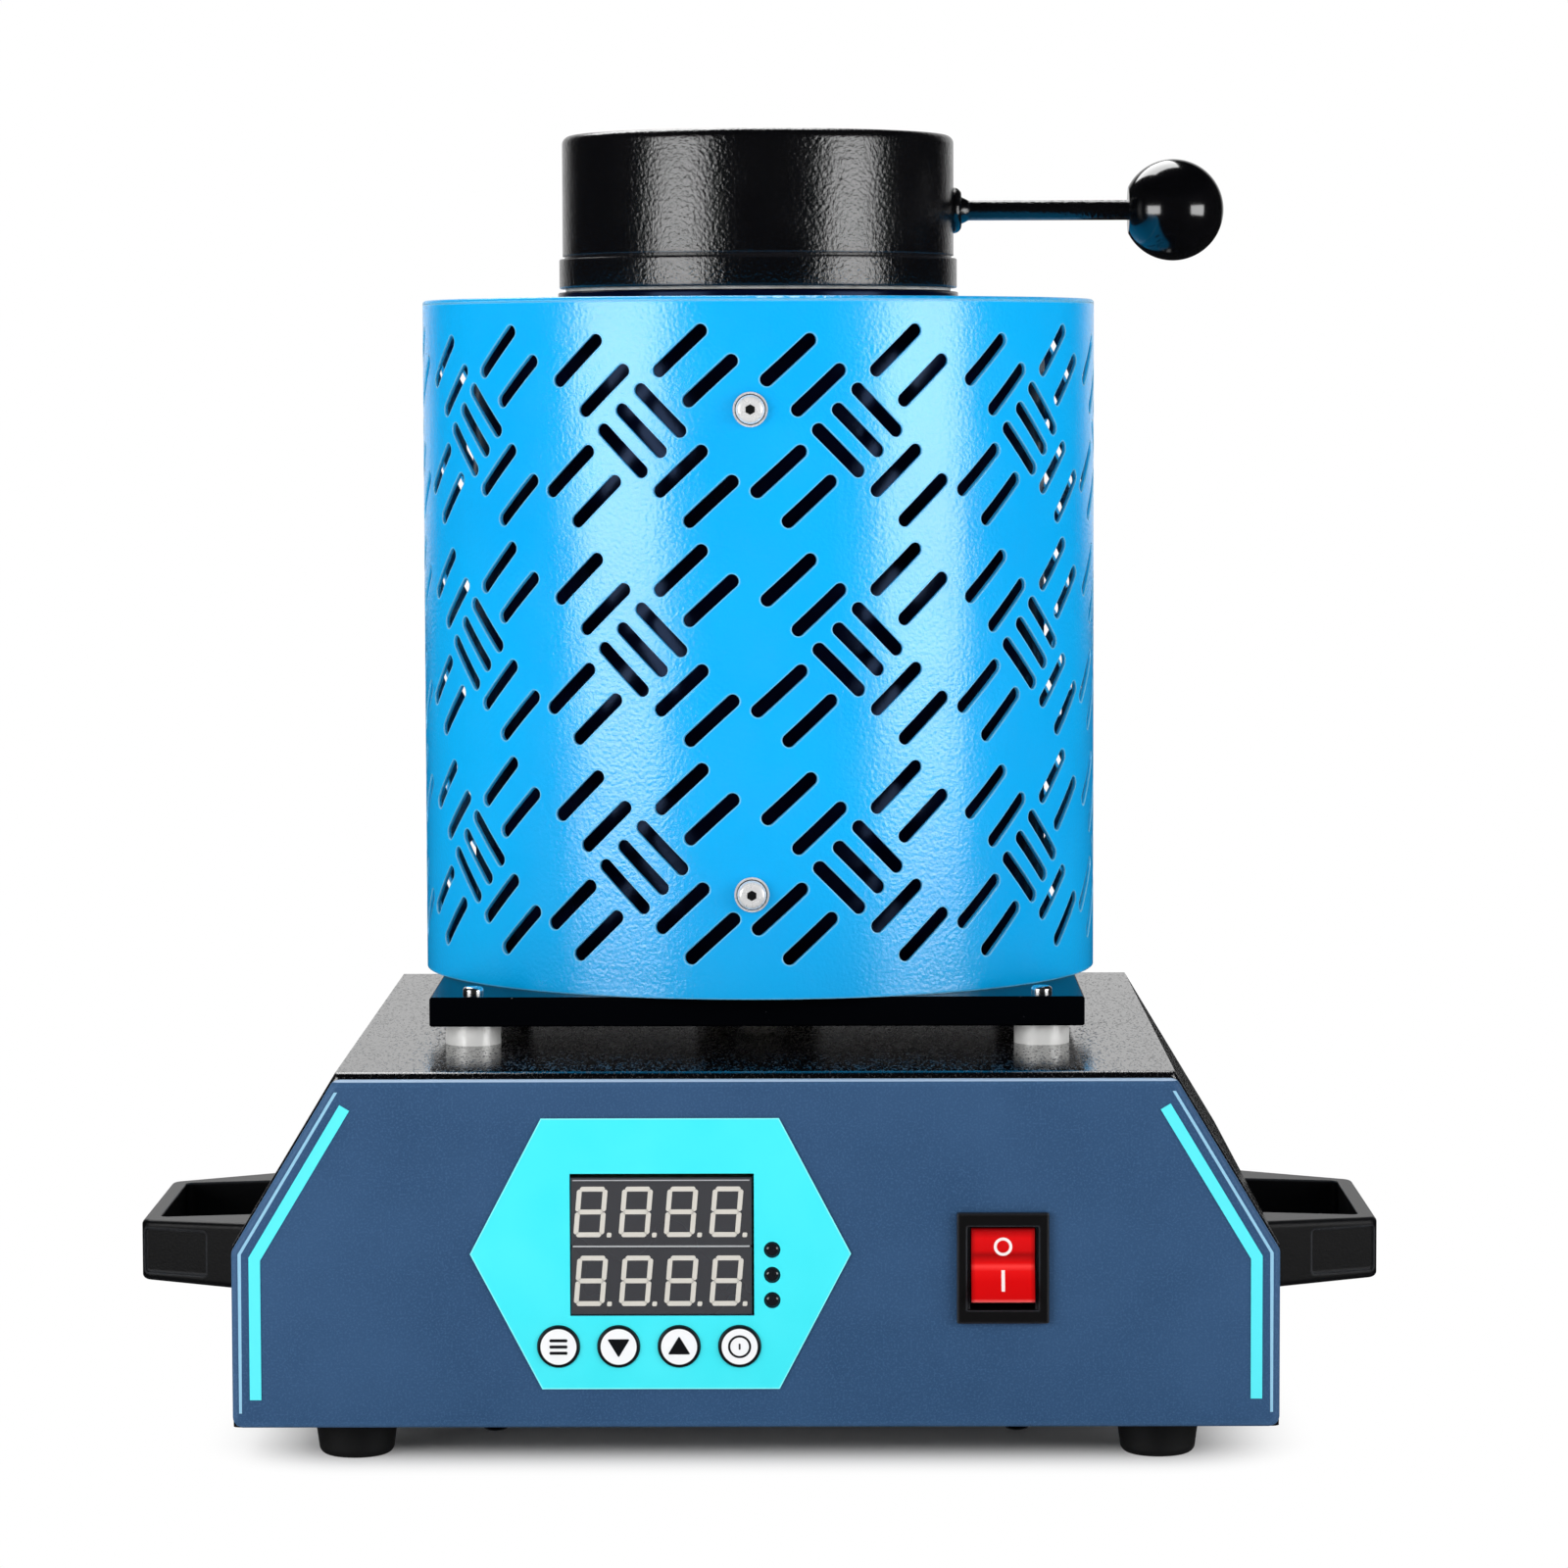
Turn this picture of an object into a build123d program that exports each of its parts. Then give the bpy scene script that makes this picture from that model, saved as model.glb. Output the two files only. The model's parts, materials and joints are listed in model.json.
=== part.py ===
from build123d import *
import os
from math import cos, degrees, radians, sin, sqrt

# Electric melting furnace: a boxed controller base carries a guarded, insulated heating
# chamber that is closed by a lid swinging on a post.
# Millimetres. +Z is up, the origin is on the floor under the middle of the base, and the
# control panel faces -Y.

os.makedirs("parts", exist_ok=True)


def keep(piece, name):
    """Label a finished piece and write it as its own node."""
    piece.part.label = name
    export_step(piece.part, f"parts/{name}.step")


# ---------------------------------------------------------------- driving dimensions

# Clearances
fit = 0.3  # between pieces that are laid or slid into one another
seat = 0.1  # between curved faces that bear on one another
screw_fit = 0.1  # round the shank of a screw or the stem of a pin
running_fit = 0.05  # round the journal of a hinge or a trunnion

# Base enclosure
base_depth = 254.0
panel_width = 291.4  # across the vertical lower sides
panel_top_width = 233.6  # along the top edge, above the sloping shoulders
panel_height = 97.6
lower_wall = 49.5  # height of the vertical part of each side
panel_sheet = 2.0
panel_corner = 3.0
panel_return = 15.0  # depth of the front panel's edge folded under the tray
rear_sheet = 1.5
rear_inset = 1.2  # rear panel's edge inside the cover's outline
cover_sheet = 1.5
cover_rise = 1.8  # cover's top above the front panel's top edge
cover_spread = 0.7  # cover's sloping shoulders stand this far outside the front panel's
cover_bend = 1.8  # outer radius of the folded front and rear edges
flange_width = 12.0  # cover's inward flanges behind both panels
tray_sheet = 1.5
tray_wall = 14.0
case_screw_radius = 1.9
case_screw_head = 3.5
case_screw_head_height = 2.0
screw_grip = 3.0  # shank past the last sheet it holds
case_screw_pitch = 95.0

# Feet
foot_height = 12.2  # floor to the front panel's lower edge
foot_top_radius = 12.3
foot_bottom_radius = 10.3
foot_round = 2.5
foot_recess_radius = 4.8
foot_recess_depth = 5.0
foot_spacing = 226.8
foot_inset = 28.0  # from the front and rear faces
foot_screw_radius = 2.4
foot_screw_head_height = 2.4

# Carrying handles
handle_reach = 36.0  # from the side wall to the grip's outer face
handle_grip_length = 76.0
handle_splay = 15.0  # each arm's outer face spreads by this much towards its root
handle_height = 17.8
handle_root_height = 19.8
handle_bottom = 39.2
handle_bar = 5.0
handle_arm = 4.2  # thickness of each arm at the grip end
handle_corner = 4.0
handle_recess_depth = 1.0
handle_recess_margin = 2.4
handle_recess_length = 20.5
handle_recess_start = 1.0  # from the corner between arm and grip
handle_edge = 1.6
handle_screw_radius = 2.5
handle_screw_head = 4.5
handle_screw_head_height = 2.8
handle_screw_depth = 12.0

# Control panel
overlay_width = 105.8  # tip to tip
overlay_edge = 66.0  # upper and lower edges
overlay_height = 75.8
overlay_sheet = 0.5
overlay_x = -26.3
overlay_up = 49.0  # centre above the panel's lower edge
stripe_width = 3.2
stripe_inset = 6.6
stripe_low = 8.1
stripe_high = 93.3
stripe_sheet = 0.3
display_width = 50.3
display_height = 19.0
display_depth = 8.0
display_pitch = 19.3
display_x = -26.05
display_up = 51.1
display_sunk = 0.3  # face behind the overlay's face
window_width = 51.1
window_height = 39.8
window_x = -25.85
window_up = 51.55
display_edge = 0.25
led_radius = 2.2
led_x = 4.7
led_ups = (50.1, 43.05, 36.0)
led_proud = 0.4
button_radius = 5.8
button_xs = (-54.7, -38.0, -21.2, -4.4)
button_up = 23.1
button_proud = 0.8
button_travel = 0.5
button_collar = 1.0  # collar's overhang behind the panel
button_collar_sheet = 0.8
board_width = 88.0
board_height = 59.0
board_sheet = 1.6
board_up = 45.3
board_hole_inset = 4.0
board_stud_radius = 1.5
spacer_radius = 3.0
transformer_width = 24.0
transformer_height = 16.0
tact_size = 6.0
tact_height = 3.4
tact_plunger_radius = 1.7
tact_plunger_height = 0.6

# Rocker switch
switch_x = 68.7
switch_up = 44.95
bezel_width = 25.6
bezel_height = 31.0
bezel_sheet = 2.0
bezel_corner = 0.6
bezel_opening_width = 19.9
switch_opening_height = 23.4
switch_body_width = 22.0
switch_body_height = 27.4
switch_body_depth = 22.0
switch_wall = 1.5
rocker_width = 17.6
rocker_half_height = 10.4
rocker_tilt = 10.0  # degrees either side of the middle
rocker_pivot_depth = 4.0  # pivot behind the panel's face
rocker_crown = 5.2  # pivot to the middle of the rocker's face
rocker_side = 4.5
rocker_keel = 4.0
rocker_edge = 0.8
rocker_crease = 6.0  # radius between the two halves of its face
trunnion_radius = 1.5
trunnion_length = 0.9
spade_sheet = 0.8
spade_width = 6.3
spade_length = 8.0

# Mains inlet and rear vents
inlet_x = 92.0
inlet_up = 30.0
inlet_flange_width = 50.0
inlet_flange_height = 23.5
inlet_flange_sheet = 2.5
inlet_body_width = 27.0
inlet_body_height = 19.8
inlet_body_depth = 20.0
inlet_recess_width = 24.6
inlet_recess_height = 16.6
inlet_recess_depth = 16.0
inlet_screw_pitch = 40.0
inlet_pin_width = 2.0
inlet_pin_height = 4.0
inlet_pin_spread = 14.0
inlet_pin_length = 12.0
vent_length = 34.0
vent_width = 3.0
vent_pitch = 8.0
vent_count = 9
vent_up = 62.0
rear_screw_radius = 1.5
rear_screw_head = 2.8
rear_screw_head_height = 1.6

# Power parts on the tray
relay_width = 45.0
relay_length = 58.0
relay_height = 26.0
relay_screw_well = 4.5
relay_x = -62.0
relay_y = -20.0
heatsink_width = 74.0
heatsink_length = 80.0
heatsink_base = 5.0
heatsink_fin = 2.0
heatsink_fin_height = 22.0
heatsink_fin_count = 9
terminal_width = 62.0
terminal_length = 22.0
terminal_height = 18.0

# Support plate and standoffs
plate_width = 188.2
plate_sheet = 8.5
plate_edge = 0.5
furnace_y = 24.2  # chamber axis behind the middle of the base
standoff_radius = 8.0
standoff_height = 6.1
standoff_spacing = 164.4
plate_screw_radius = 2.0
plate_screw_head = 3.0
plate_screw_dome = 1.8
plate_nut_width = 7.0
plate_nut_height = 3.2

# Perforated guard
guard_radius = 101.1
guard_height = 200.5  # with its top disc
guard_sheet = 1.2
slot_length = 20.3
slot_width = 4.0
crossing_angle = -45.0
flanking_angle = 43.0
slot_cut_depth = 8.0  # from the plane touching the guard, past its curved wall
slot_step = 8.1  # between the three middle slots
slot_gap = 12.1  # between the two slots of a pair
slot_pairs = ((-15.7, 15.7), (15.8, 18.4), (-18.4, -15.9), (15.9, -15.8))
cluster_count = 10
cluster_pitch = 62.9  # round the guard
cluster_row_pitch = 62.4
cluster_shift = -1.6  # pattern's middle from the front of the guard, towards +X
cluster_rise = -0.3  # pattern's middle above the guard's
guard_screw_x = -1.2
guard_screw_low = 30.2  # from the guard's lower edge
guard_screw_high = 32.2  # from its upper edge
guard_screw_radius = 2.5
guard_screw_head = 4.15
guard_screw_head_height = 2.6
guard_socket = 2.5  # across the flats of the hexagon socket
guard_washer_radius = 5.0
guard_washer_sheet = 1.0
guard_screw_length = 13.0
guard_rim = 1.0  # rounding of the top disc's edge
guard_boss_radius = 4.8

# Chamber
case_radius = 86.2
case_sheet = 1.2
bore_radius = 33.0
bore_depth = 128.0
liner_wall = 8.0
liner_floor = 10.0
mouth_radius = 38.5
mouth_depth = 14.0  # collar's top to the liner's rim
collar_radius = 60.3
collar_rise = 2.4  # above the guard's top
collar_flange = 1.6
blanket_radius = 44.2
top_ring_depth = 24.0
wire_radius = 1.0
coil_pitch = 8.0
coil_turns = 12
coil_start = 13.0  # above the liner's foot
lead_radius = 1.1
lead_angle = 75.0
lead_spread = 30.0
lead_reach = 50.0
bushing_radius = 5.0
bushing_collar = 7.5
bushing_collar_height = 2.5
sheath_radius = 2.5
thermocouple_head_width = 22.0
thermocouple_head_height = 16.0
case_bolt_circle = 60.0
case_bolt_radius = 2.4
case_bolt_head = 4.4
case_bolt_head_height = 2.2

# Lid
lid_radius = 58.9
lid_height = 45.7
lid_sheet = 1.5
lid_round = 2.5
lid_band_radius = 59.9
lid_band_height = 8.9
lid_groove = 0.8
lid_groove_depth = 0.6
lid_gap = 1.1  # collar's top to the lid's foot, closed by the gasket
lid_gasket_inner = 40.0
lid_gasket_outer = 58.0
lid_rest_gap = 0.25  # gasket above the collar while the post carries the lid
rod_radius = 3.0
rod_up = 23.3  # above the lid's foot
rod_root_radius = 6.5
rod_root_length = 4.5
knob_radius = 15.2
knob_x = 125.0
knob_flat = 13.5  # centre to the flat round the rod
knob_bore_depth = 12.0

# Lid hinge
hinge_offset = 75.0  # post behind the chamber's axis
post_radius = 5.0
post_thread_radius = 4.0
shoulder_radius = 8.0
shoulder_height = 10.0
hinge_washer_sheet = 0.8
sleeve_radius = 9.0
sleeve_height = 23.0
web_width = 8.0
web_height = 16.0
web_edge = 2.0  # below the sleeve's upper end
hinge_nut_width = 13.0
hinge_nut_height = 6.5
cap_dome_radius = 5.6

# ---------------------------------------------------------------- derived places

front_y = -base_depth / 2
rear_y = base_depth / 2
panel_bottom = foot_height
panel_top = panel_bottom + panel_height
shoulder_z = panel_bottom + lower_wall
cover_top = panel_top + cover_rise
cover_front = front_y + panel_sheet
cover_rear = rear_y - rear_sheet
tray_bottom = panel_bottom + panel_sheet
tray_top = tray_bottom + tray_sheet
tray_half_width = panel_width / 2 - cover_sheet
tray_front = cover_front + cover_sheet
tray_rear = cover_rear - cover_sheet
shoulder_slope = (panel_width - panel_top_width) / 2 / (panel_height - lower_wall)
shoulder_stretch = sqrt(1 + shoulder_slope**2)

plate_bottom = cover_top + standoff_height
plate_top = plate_bottom + plate_sheet
guard_bottom = plate_top
guard_top_z = guard_bottom + guard_height
guard_disc_bottom = guard_top_z - guard_sheet
collar_bottom = guard_disc_bottom - collar_flange
collar_top = guard_top_z + collar_rise
liner_top = collar_top - mouth_depth
liner_bottom = liner_top - bore_depth - liner_floor
liner_radius = bore_radius + liner_wall
case_floor = plate_top + case_sheet
packing_radius = case_radius - case_sheet - fit
top_ring_bottom = collar_bottom - top_ring_depth
coil_radius = liner_radius + fit + wire_radius
coil_bottom = liner_bottom + coil_start
coil_height = coil_pitch * (coil_turns + lead_spread / 360)
coil_top = coil_bottom + coil_height

lid_bottom = collar_top + lid_gap
rod_z = lid_bottom + rod_up
hinge_y = furnace_y + hinge_offset
sleeve_bottom = guard_top_z + shoulder_height + hinge_washer_sheet + seat
sleeve_top = sleeve_bottom + sleeve_height

overlay_z = panel_bottom + overlay_up
overlay_face = front_y - overlay_sheet
display_face = overlay_face + display_sunk
display_z = panel_bottom + display_up
board_face = display_face + display_depth
board_z = panel_bottom + board_up
button_z = panel_bottom + button_up
led_zs = [panel_bottom + up for up in led_ups]
switch_z = panel_bottom + switch_up
inlet_z = panel_bottom + inlet_up
vent_z = panel_bottom + vent_up
window_z = panel_bottom + window_up

chamber = Plane((0, furnace_y, 0))  # floor plane centred under the chamber
plate_corners = [
    (x * standoff_spacing / 2, furnace_y + y * standoff_spacing / 2)
    for x in (-1, 1)
    for y in (-1, 1)
]
foot_places = [
    (x * foot_spacing / 2, y * (base_depth / 2 - foot_inset)) for x in (-1, 1) for y in (-1, 1)
]
case_screw_ys = [step * case_screw_pitch for step in (-1, 0, 1)]
case_screw_z = tray_bottom + tray_wall * 0.6
return_screw_places = [(x, front_y + panel_return * 0.6) for x in (-panel_width / 4, panel_width / 4)]
handle_z = handle_bottom + handle_height / 2
handle_screw_ys = [side * (handle_grip_length / 2 + handle_splay / 3) for side in (-1, 1)]


def level(z):
    """Horizontal plane at height z, centred under the chamber."""
    return chamber.offset(z)


def upright(y):
    """Vertical plane facing the front at depth y: sketch x is X, sketch y is Z."""
    return Plane.XZ.offset(-y)


def half_width(z):
    """Half width of the enclosure at height z."""
    return panel_width / 2 - max(0.0, z - shoulder_z) * shoulder_slope


def case_outline(low, high, inset=0.0, spread=0.0):
    """Corners of the enclosure's front outline, as (X, Z); spread widens its shoulders."""
    side = [
        (panel_width / 2 - inset, low),
        (panel_width / 2 - inset, shoulder_z + spread / shoulder_slope),
        (half_width(high) + spread - inset, high),
    ]
    return side + [(-x, z) for x, z in reversed(side)]


def polar(radius, angle):
    """Point about the chamber's axis, with the angle counted from +X."""
    return (radius * cos(radians(angle)), furnace_y + radius * sin(radians(angle)))


lead_places = (polar(coil_radius, lead_angle), polar(lead_reach, lead_angle + lead_spread))
case_bolt_places = [polar(case_bolt_circle, 45 + 90 * n) for n in range(4)]
guard_screw_zs = (guard_bottom + guard_screw_low, guard_top_z - guard_screw_high)
guard_screw_sets = [
    ((0, side, 0), [(guard_screw_x, furnace_y + side * guard_radius, z) for z in guard_screw_zs])
    for side in (-1, 1)
]
rear_screw_places = [
    (side * (half_width(z) - flange_width / 2), z)
    for side in (-1, 1)
    for z in (tray_bottom + tray_wall + flange_width, shoulder_z + lower_wall / 2)
] + [(side * panel_top_width / 4, panel_top - flange_width / 2) for side in (-1, 1)]
inlet_screw_places = [(inlet_x + side * inlet_screw_pitch / 2, inlet_z) for side in (-1, 1)]
board_holes = [
    (
        overlay_x + x * (board_width / 2 - board_hole_inset),
        board_z + z * (board_height / 2 - board_hole_inset),
    )
    for x in (-1, 1)
    for z in (-1, 1)
]

# ---------------------------------------------------------------- repeated pieces

STANDING = (Align.CENTER, Align.CENTER, Align.MIN)  # rises from its location
HANGING = (Align.CENTER, Align.CENTER, Align.MAX)  # goes down from its location


def facing(direction, places):
    """Locations at the given places whose own +Z points along a direction."""
    return [Plane(place, z_dir=direction).location for place in places]


def keep_screws(name, sets, head_radius, head_height, shank_radius, shank_length, socket=0.0):
    """Pan-head screws in one node; each set is a direction and the seats of its heads."""
    with BuildPart() as group:
        for direction, seats in sets:
            with Locations(*facing(direction, seats)):
                Cylinder(head_radius, head_height, align=STANDING)
        tips = [
            Vector(*seat_point) + Vector(*direction) * head_height
            for direction, seats in sets
            for seat_point in seats
        ]
        rims = [
            edge
            for edge in group.edges().filter_by(GeomType.CIRCLE)
            if min((edge.arc_center - tip).length for tip in tips) < 0.01
        ]
        fillet(rims, head_height * 0.6)
        for direction, seats in sets:
            with Locations(*facing(direction, seats)):
                Cylinder(shank_radius, shank_length, align=HANGING)
            if socket:
                with BuildSketch(*[Plane(place, z_dir=direction) for place in seats]):
                    RegularPolygon(socket / 2, 6, major_radius=False)
                extrude(amount=head_height + 1, mode=Mode.SUBTRACT)
    keep(group, name)


# ---------------------------------------------------------------- base enclosure

with BuildPart() as base_cover:
    with BuildSketch(upright(cover_rear)):
        Polygon(*case_outline(panel_bottom, cover_top, spread=cover_spread), align=None)
    extrude(amount=cover_rear - cover_front)
    offset(amount=-cover_sheet, openings=base_cover.faces().sort_by(Axis.Z)[0])
    window = case_outline(panel_bottom, cover_top - flange_width, inset=flange_width)
    for y, amount in ((cover_front, -cover_sheet), (cover_rear, cover_sheet)):
        with BuildSketch(upright(y)):
            Polygon(*window, align=None)
        extrude(amount=amount, mode=Mode.SUBTRACT)
    for end in (0, -1):
        end_face = base_cover.faces().filter_by(Axis.Y).sort_by(Axis.Y)[end]
        folds = [
            edge
            for edge in end_face.edges()
            if abs(edge.center().X) > half_width(edge.center().Z) - 1
            or edge.center().Z > cover_top - 1
        ]
        fillet(folds, cover_bend)
    with BuildSketch(Plane.XY.offset(cover_top)):
        with Locations(*plate_corners):
            Circle(plate_screw_radius + screw_fit)
        with Locations(*lead_places, (0, furnace_y)):
            Circle(bushing_radius + screw_fit)
    extrude(amount=-cover_sheet, mode=Mode.SUBTRACT)
    with BuildSketch(Plane.YZ.offset(-panel_width / 2)):
        with Locations(*[(y, case_screw_z) for y in case_screw_ys]):
            Circle(case_screw_radius + screw_fit)
        with Locations(*[(y, handle_z) for y in handle_screw_ys]):
            Circle(handle_screw_radius + screw_fit)
    extrude(amount=panel_width, mode=Mode.SUBTRACT)
    with BuildSketch(upright(cover_rear)):
        with Locations(*rear_screw_places):
            Circle(rear_screw_radius + screw_fit)
    extrude(amount=cover_sheet, mode=Mode.SUBTRACT)
keep(base_cover, "base_cover")

with BuildPart() as base_tray:
    with BuildSketch(Plane.XY.offset(tray_bottom)):
        with Locations((0, (tray_front + tray_rear) / 2)):
            Rectangle(2 * tray_half_width, tray_rear - tray_front)
    extrude(amount=tray_wall)
    offset(amount=-tray_sheet, openings=base_tray.faces().sort_by(Axis.Z)[-1])
    with BuildSketch(Plane.XY.offset(tray_bottom)):
        with Locations(*foot_places):
            Circle(foot_screw_radius + screw_fit)
        with Locations(*return_screw_places):
            Circle(case_screw_radius + screw_fit)
    extrude(amount=tray_sheet, mode=Mode.SUBTRACT)
    with BuildSketch(Plane.YZ.offset(-tray_half_width)):
        with Locations(*[(y, case_screw_z) for y in case_screw_ys]):
            Circle(case_screw_radius + screw_fit)
    extrude(amount=2 * tray_half_width, mode=Mode.SUBTRACT)
keep(base_tray, "base_tray")

with BuildPart() as front_panel:
    with BuildSketch(upright(cover_front)) as panel_face:
        Polygon(*case_outline(panel_bottom, panel_top), align=None)
        fillet(panel_face.vertices().group_by(Axis.Z)[0], panel_corner)
    extrude(amount=panel_sheet)
    with BuildSketch(Plane.XY.offset(panel_bottom)):
        with Locations((0, front_y + panel_return / 2)):
            Rectangle(panel_width - 2 * (flange_width + fit), panel_return)
    extrude(amount=panel_sheet)
    lower_edges = front_panel.edges().filter_by(Axis.X).group_by(Axis.Z)[0]
    fillet(lower_edges.sort_by(Axis.Y)[0], panel_sheet * 0.9)
    with BuildSketch(upright(cover_front)):
        with Locations((window_x, window_z)):
            Rectangle(window_width, window_height)
        with Locations(*[(x, button_z) for x in button_xs]):
            Circle(button_radius + 2 * screw_fit)
        with Locations(*[(led_x, z) for z in led_zs]):
            Circle(led_radius + screw_fit)
        with Locations((switch_x, switch_z)):
            Rectangle(switch_body_width + fit, switch_body_height + fit)
    extrude(amount=panel_sheet, mode=Mode.SUBTRACT)
    with BuildSketch(Plane.XY.offset(panel_bottom)):
        with Locations(*return_screw_places):
            Circle(case_screw_radius + screw_fit)
    extrude(amount=panel_sheet, mode=Mode.SUBTRACT)
keep(front_panel, "front_panel")

with BuildPart() as rear_panel:
    with BuildSketch(upright(rear_y)):
        Polygon(*case_outline(panel_bottom, panel_top, inset=rear_inset), align=None)
        with Locations((inlet_x, inlet_z)):
            Rectangle(inlet_body_width + fit, inlet_body_height + fit, mode=Mode.SUBTRACT)
        with Locations(*rear_screw_places, *inlet_screw_places):
            Circle(rear_screw_radius + screw_fit, mode=Mode.SUBTRACT)
        with Locations((0, vent_z)):
            with GridLocations(vent_pitch, vent_pitch, vent_count, 1):
                SlotOverall(vent_length, vent_width, rotation=90, mode=Mode.SUBTRACT)
    extrude(amount=rear_sheet)
keep(rear_panel, "rear_panel")

side_screw_sets = [
    ((side, 0, 0), [(side * panel_width / 2, y, case_screw_z) for y in case_screw_ys])
    for side in (-1, 1)
]
return_screw_set = ((0, 0, -1), [(x, y, panel_bottom) for x, y in return_screw_places])
keep_screws(
    "case_screws",
    side_screw_sets + [return_screw_set],
    case_screw_head,
    case_screw_head_height,
    case_screw_radius,
    cover_sheet + tray_sheet + screw_grip,
)

inlet_face_y = rear_y + inlet_flange_sheet
keep_screws(
    "rear_screws",
    [
        ((0, 1, 0), [(x, rear_y, z) for x, z in rear_screw_places]),
        ((0, 1, 0), [(x, inlet_face_y, z) for x, z in inlet_screw_places]),
    ],
    rear_screw_head,
    rear_screw_head_height,
    rear_screw_radius,
    inlet_flange_sheet + rear_sheet + screw_grip,
)

# ---------------------------------------------------------------- feet and handles

with BuildPart() as rubber_feet:
    with Locations(*foot_places):
        Cone(foot_bottom_radius, foot_top_radius, tray_bottom, align=STANDING)
    fillet(rubber_feet.edges().group_by(Axis.Z)[0], foot_round)
    with Locations(*foot_places):
        Cylinder(foot_recess_radius, foot_recess_depth, align=STANDING, mode=Mode.SUBTRACT)
        Cylinder(
            foot_screw_radius + screw_fit, tray_bottom, align=STANDING, mode=Mode.SUBTRACT
        )
keep(rubber_feet, "rubber_feet")

keep_screws(
    "foot_screws",
    [((0, 0, -1), [(x, y, foot_recess_depth) for x, y in foot_places])],
    foot_recess_radius - 2 * fit,
    foot_screw_head_height,
    foot_screw_radius,
    tray_top + screw_grip - foot_recess_depth,
)


def build_handle(side):
    """Loop handle on one side wall: two splayed arms joined by the grip bar."""
    root_x = side * panel_width / 2
    tip_x = side * (panel_width / 2 + handle_reach)
    bar_x = tip_x - side * handle_bar
    tip_y = handle_grip_length / 2
    root_y = tip_y + handle_splay
    arm = Vector(tip_x - root_x, tip_y - root_y).normalized()
    with BuildPart() as handle:
        with BuildSketch(Plane.XY.offset(handle_z)) as plan:
            Polygon(
                (root_x, -root_y), (tip_x, -tip_y), (tip_x, tip_y), (root_x, root_y), align=None
            )
            fillet(plan.vertices().filter_by(lambda v: abs(v.X - tip_x) < 1), handle_corner)
        extrude(amount=handle_root_height / 2, both=True)
        with BuildSketch(Plane.XZ):
            Polygon(
                (root_x, handle_z - handle_root_height / 2),
                (tip_x, handle_z - handle_height / 2),
                (tip_x, handle_z + handle_height / 2),
                (root_x, handle_z + handle_root_height / 2),
                align=None,
            )
        extrude(amount=root_y + 1, both=True, mode=Mode.INTERSECT)
        rounded = handle.edges().filter_by(lambda e: abs(e.center().X - root_x) > 1)
        fillet(rounded.filter_by(Axis.Z, reverse=True), handle_edge)
        with BuildSketch(Plane.XY.offset(handle_z)) as gap:
            with Locations(((root_x + bar_x) / 2, 0)):
                Rectangle(abs(bar_x - root_x), handle_grip_length - 2 * handle_arm)
            fillet(gap.vertices().filter_by(lambda v: abs(v.X - bar_x) < 1), handle_bar / 2)
        extrude(amount=handle_root_height, both=True, mode=Mode.SUBTRACT)
        for end in (-1, 1):
            along = Vector(arm.X, end * arm.Y)
            outward = Vector(-side * end * along.Y, side * end * along.X)
            face = Plane((tip_x, end * tip_y, handle_z), x_dir=along, z_dir=outward)
            with BuildSketch(face):
                with Locations((-handle_recess_length / 2 - handle_recess_start, 0)):
                    RectangleRounded(
                        handle_recess_length, handle_height - 2 * handle_recess_margin, 1.0
                    )
            extrude(amount=-handle_recess_depth, mode=Mode.SUBTRACT)
        with Locations(*facing((side, 0, 0), [(root_x, y, handle_z) for y in handle_screw_ys])):
            Cylinder(
                handle_screw_radius + screw_fit,
                handle_screw_depth + fit,
                align=STANDING,
                mode=Mode.SUBTRACT,
            )
    return handle


handle_left = build_handle(-1)
keep(handle_left, "handle_left")
handle_right = build_handle(1)
keep(handle_right, "handle_right")

inner_wall_x = panel_width / 2 - cover_sheet
keep_screws(
    "handle_screws",
    [
        ((-side, 0, 0), [(side * inner_wall_x, y, handle_z) for y in handle_screw_ys])
        for side in (-1, 1)
    ],
    handle_screw_head,
    handle_screw_head_height,
    handle_screw_radius,
    cover_sheet + handle_screw_depth,
)

# ---------------------------------------------------------------- control panel

with BuildPart() as panel_overlay:
    with BuildSketch(upright(front_y)):
        half_tip, half_edge, half_rise = overlay_width / 2, overlay_edge / 2, overlay_height / 2
        with Locations((overlay_x, overlay_z)):
            Polygon(
                (-half_tip, 0),
                (-half_edge, -half_rise),
                (half_edge, -half_rise),
                (half_tip, 0),
                (half_edge, half_rise),
                (-half_edge, half_rise),
                align=None,
            )
        with Locations((window_x, window_z)):
            Rectangle(window_width, window_height, mode=Mode.SUBTRACT)
        with Locations(*[(x, button_z) for x in button_xs]):
            Circle(button_radius + 2 * screw_fit, mode=Mode.SUBTRACT)
        with Locations(*[(led_x, z) for z in led_zs]):
            Circle(led_radius + screw_fit, mode=Mode.SUBTRACT)
    extrude(amount=overlay_sheet)
keep(panel_overlay, "panel_overlay")


def folded_band(side, inset, width, low, high):
    """Outline of a band along one side of the panel that folds at the shoulder."""

    def line(depth):
        """Foot, fold and tip of the line that runs at this depth inside the edge."""
        fold_z = shoulder_z - depth * (shoulder_stretch - 1) / shoulder_slope
        tip_x = half_width(high) - depth / shoulder_stretch
        tip_z = high - depth * shoulder_slope / shoulder_stretch
        wall_x = panel_width / 2 - depth
        return [(side * wall_x, low), (side * wall_x, fold_z), (side * tip_x, tip_z)]

    return line(inset - width / 2) + line(inset + width / 2)[::-1]


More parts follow.
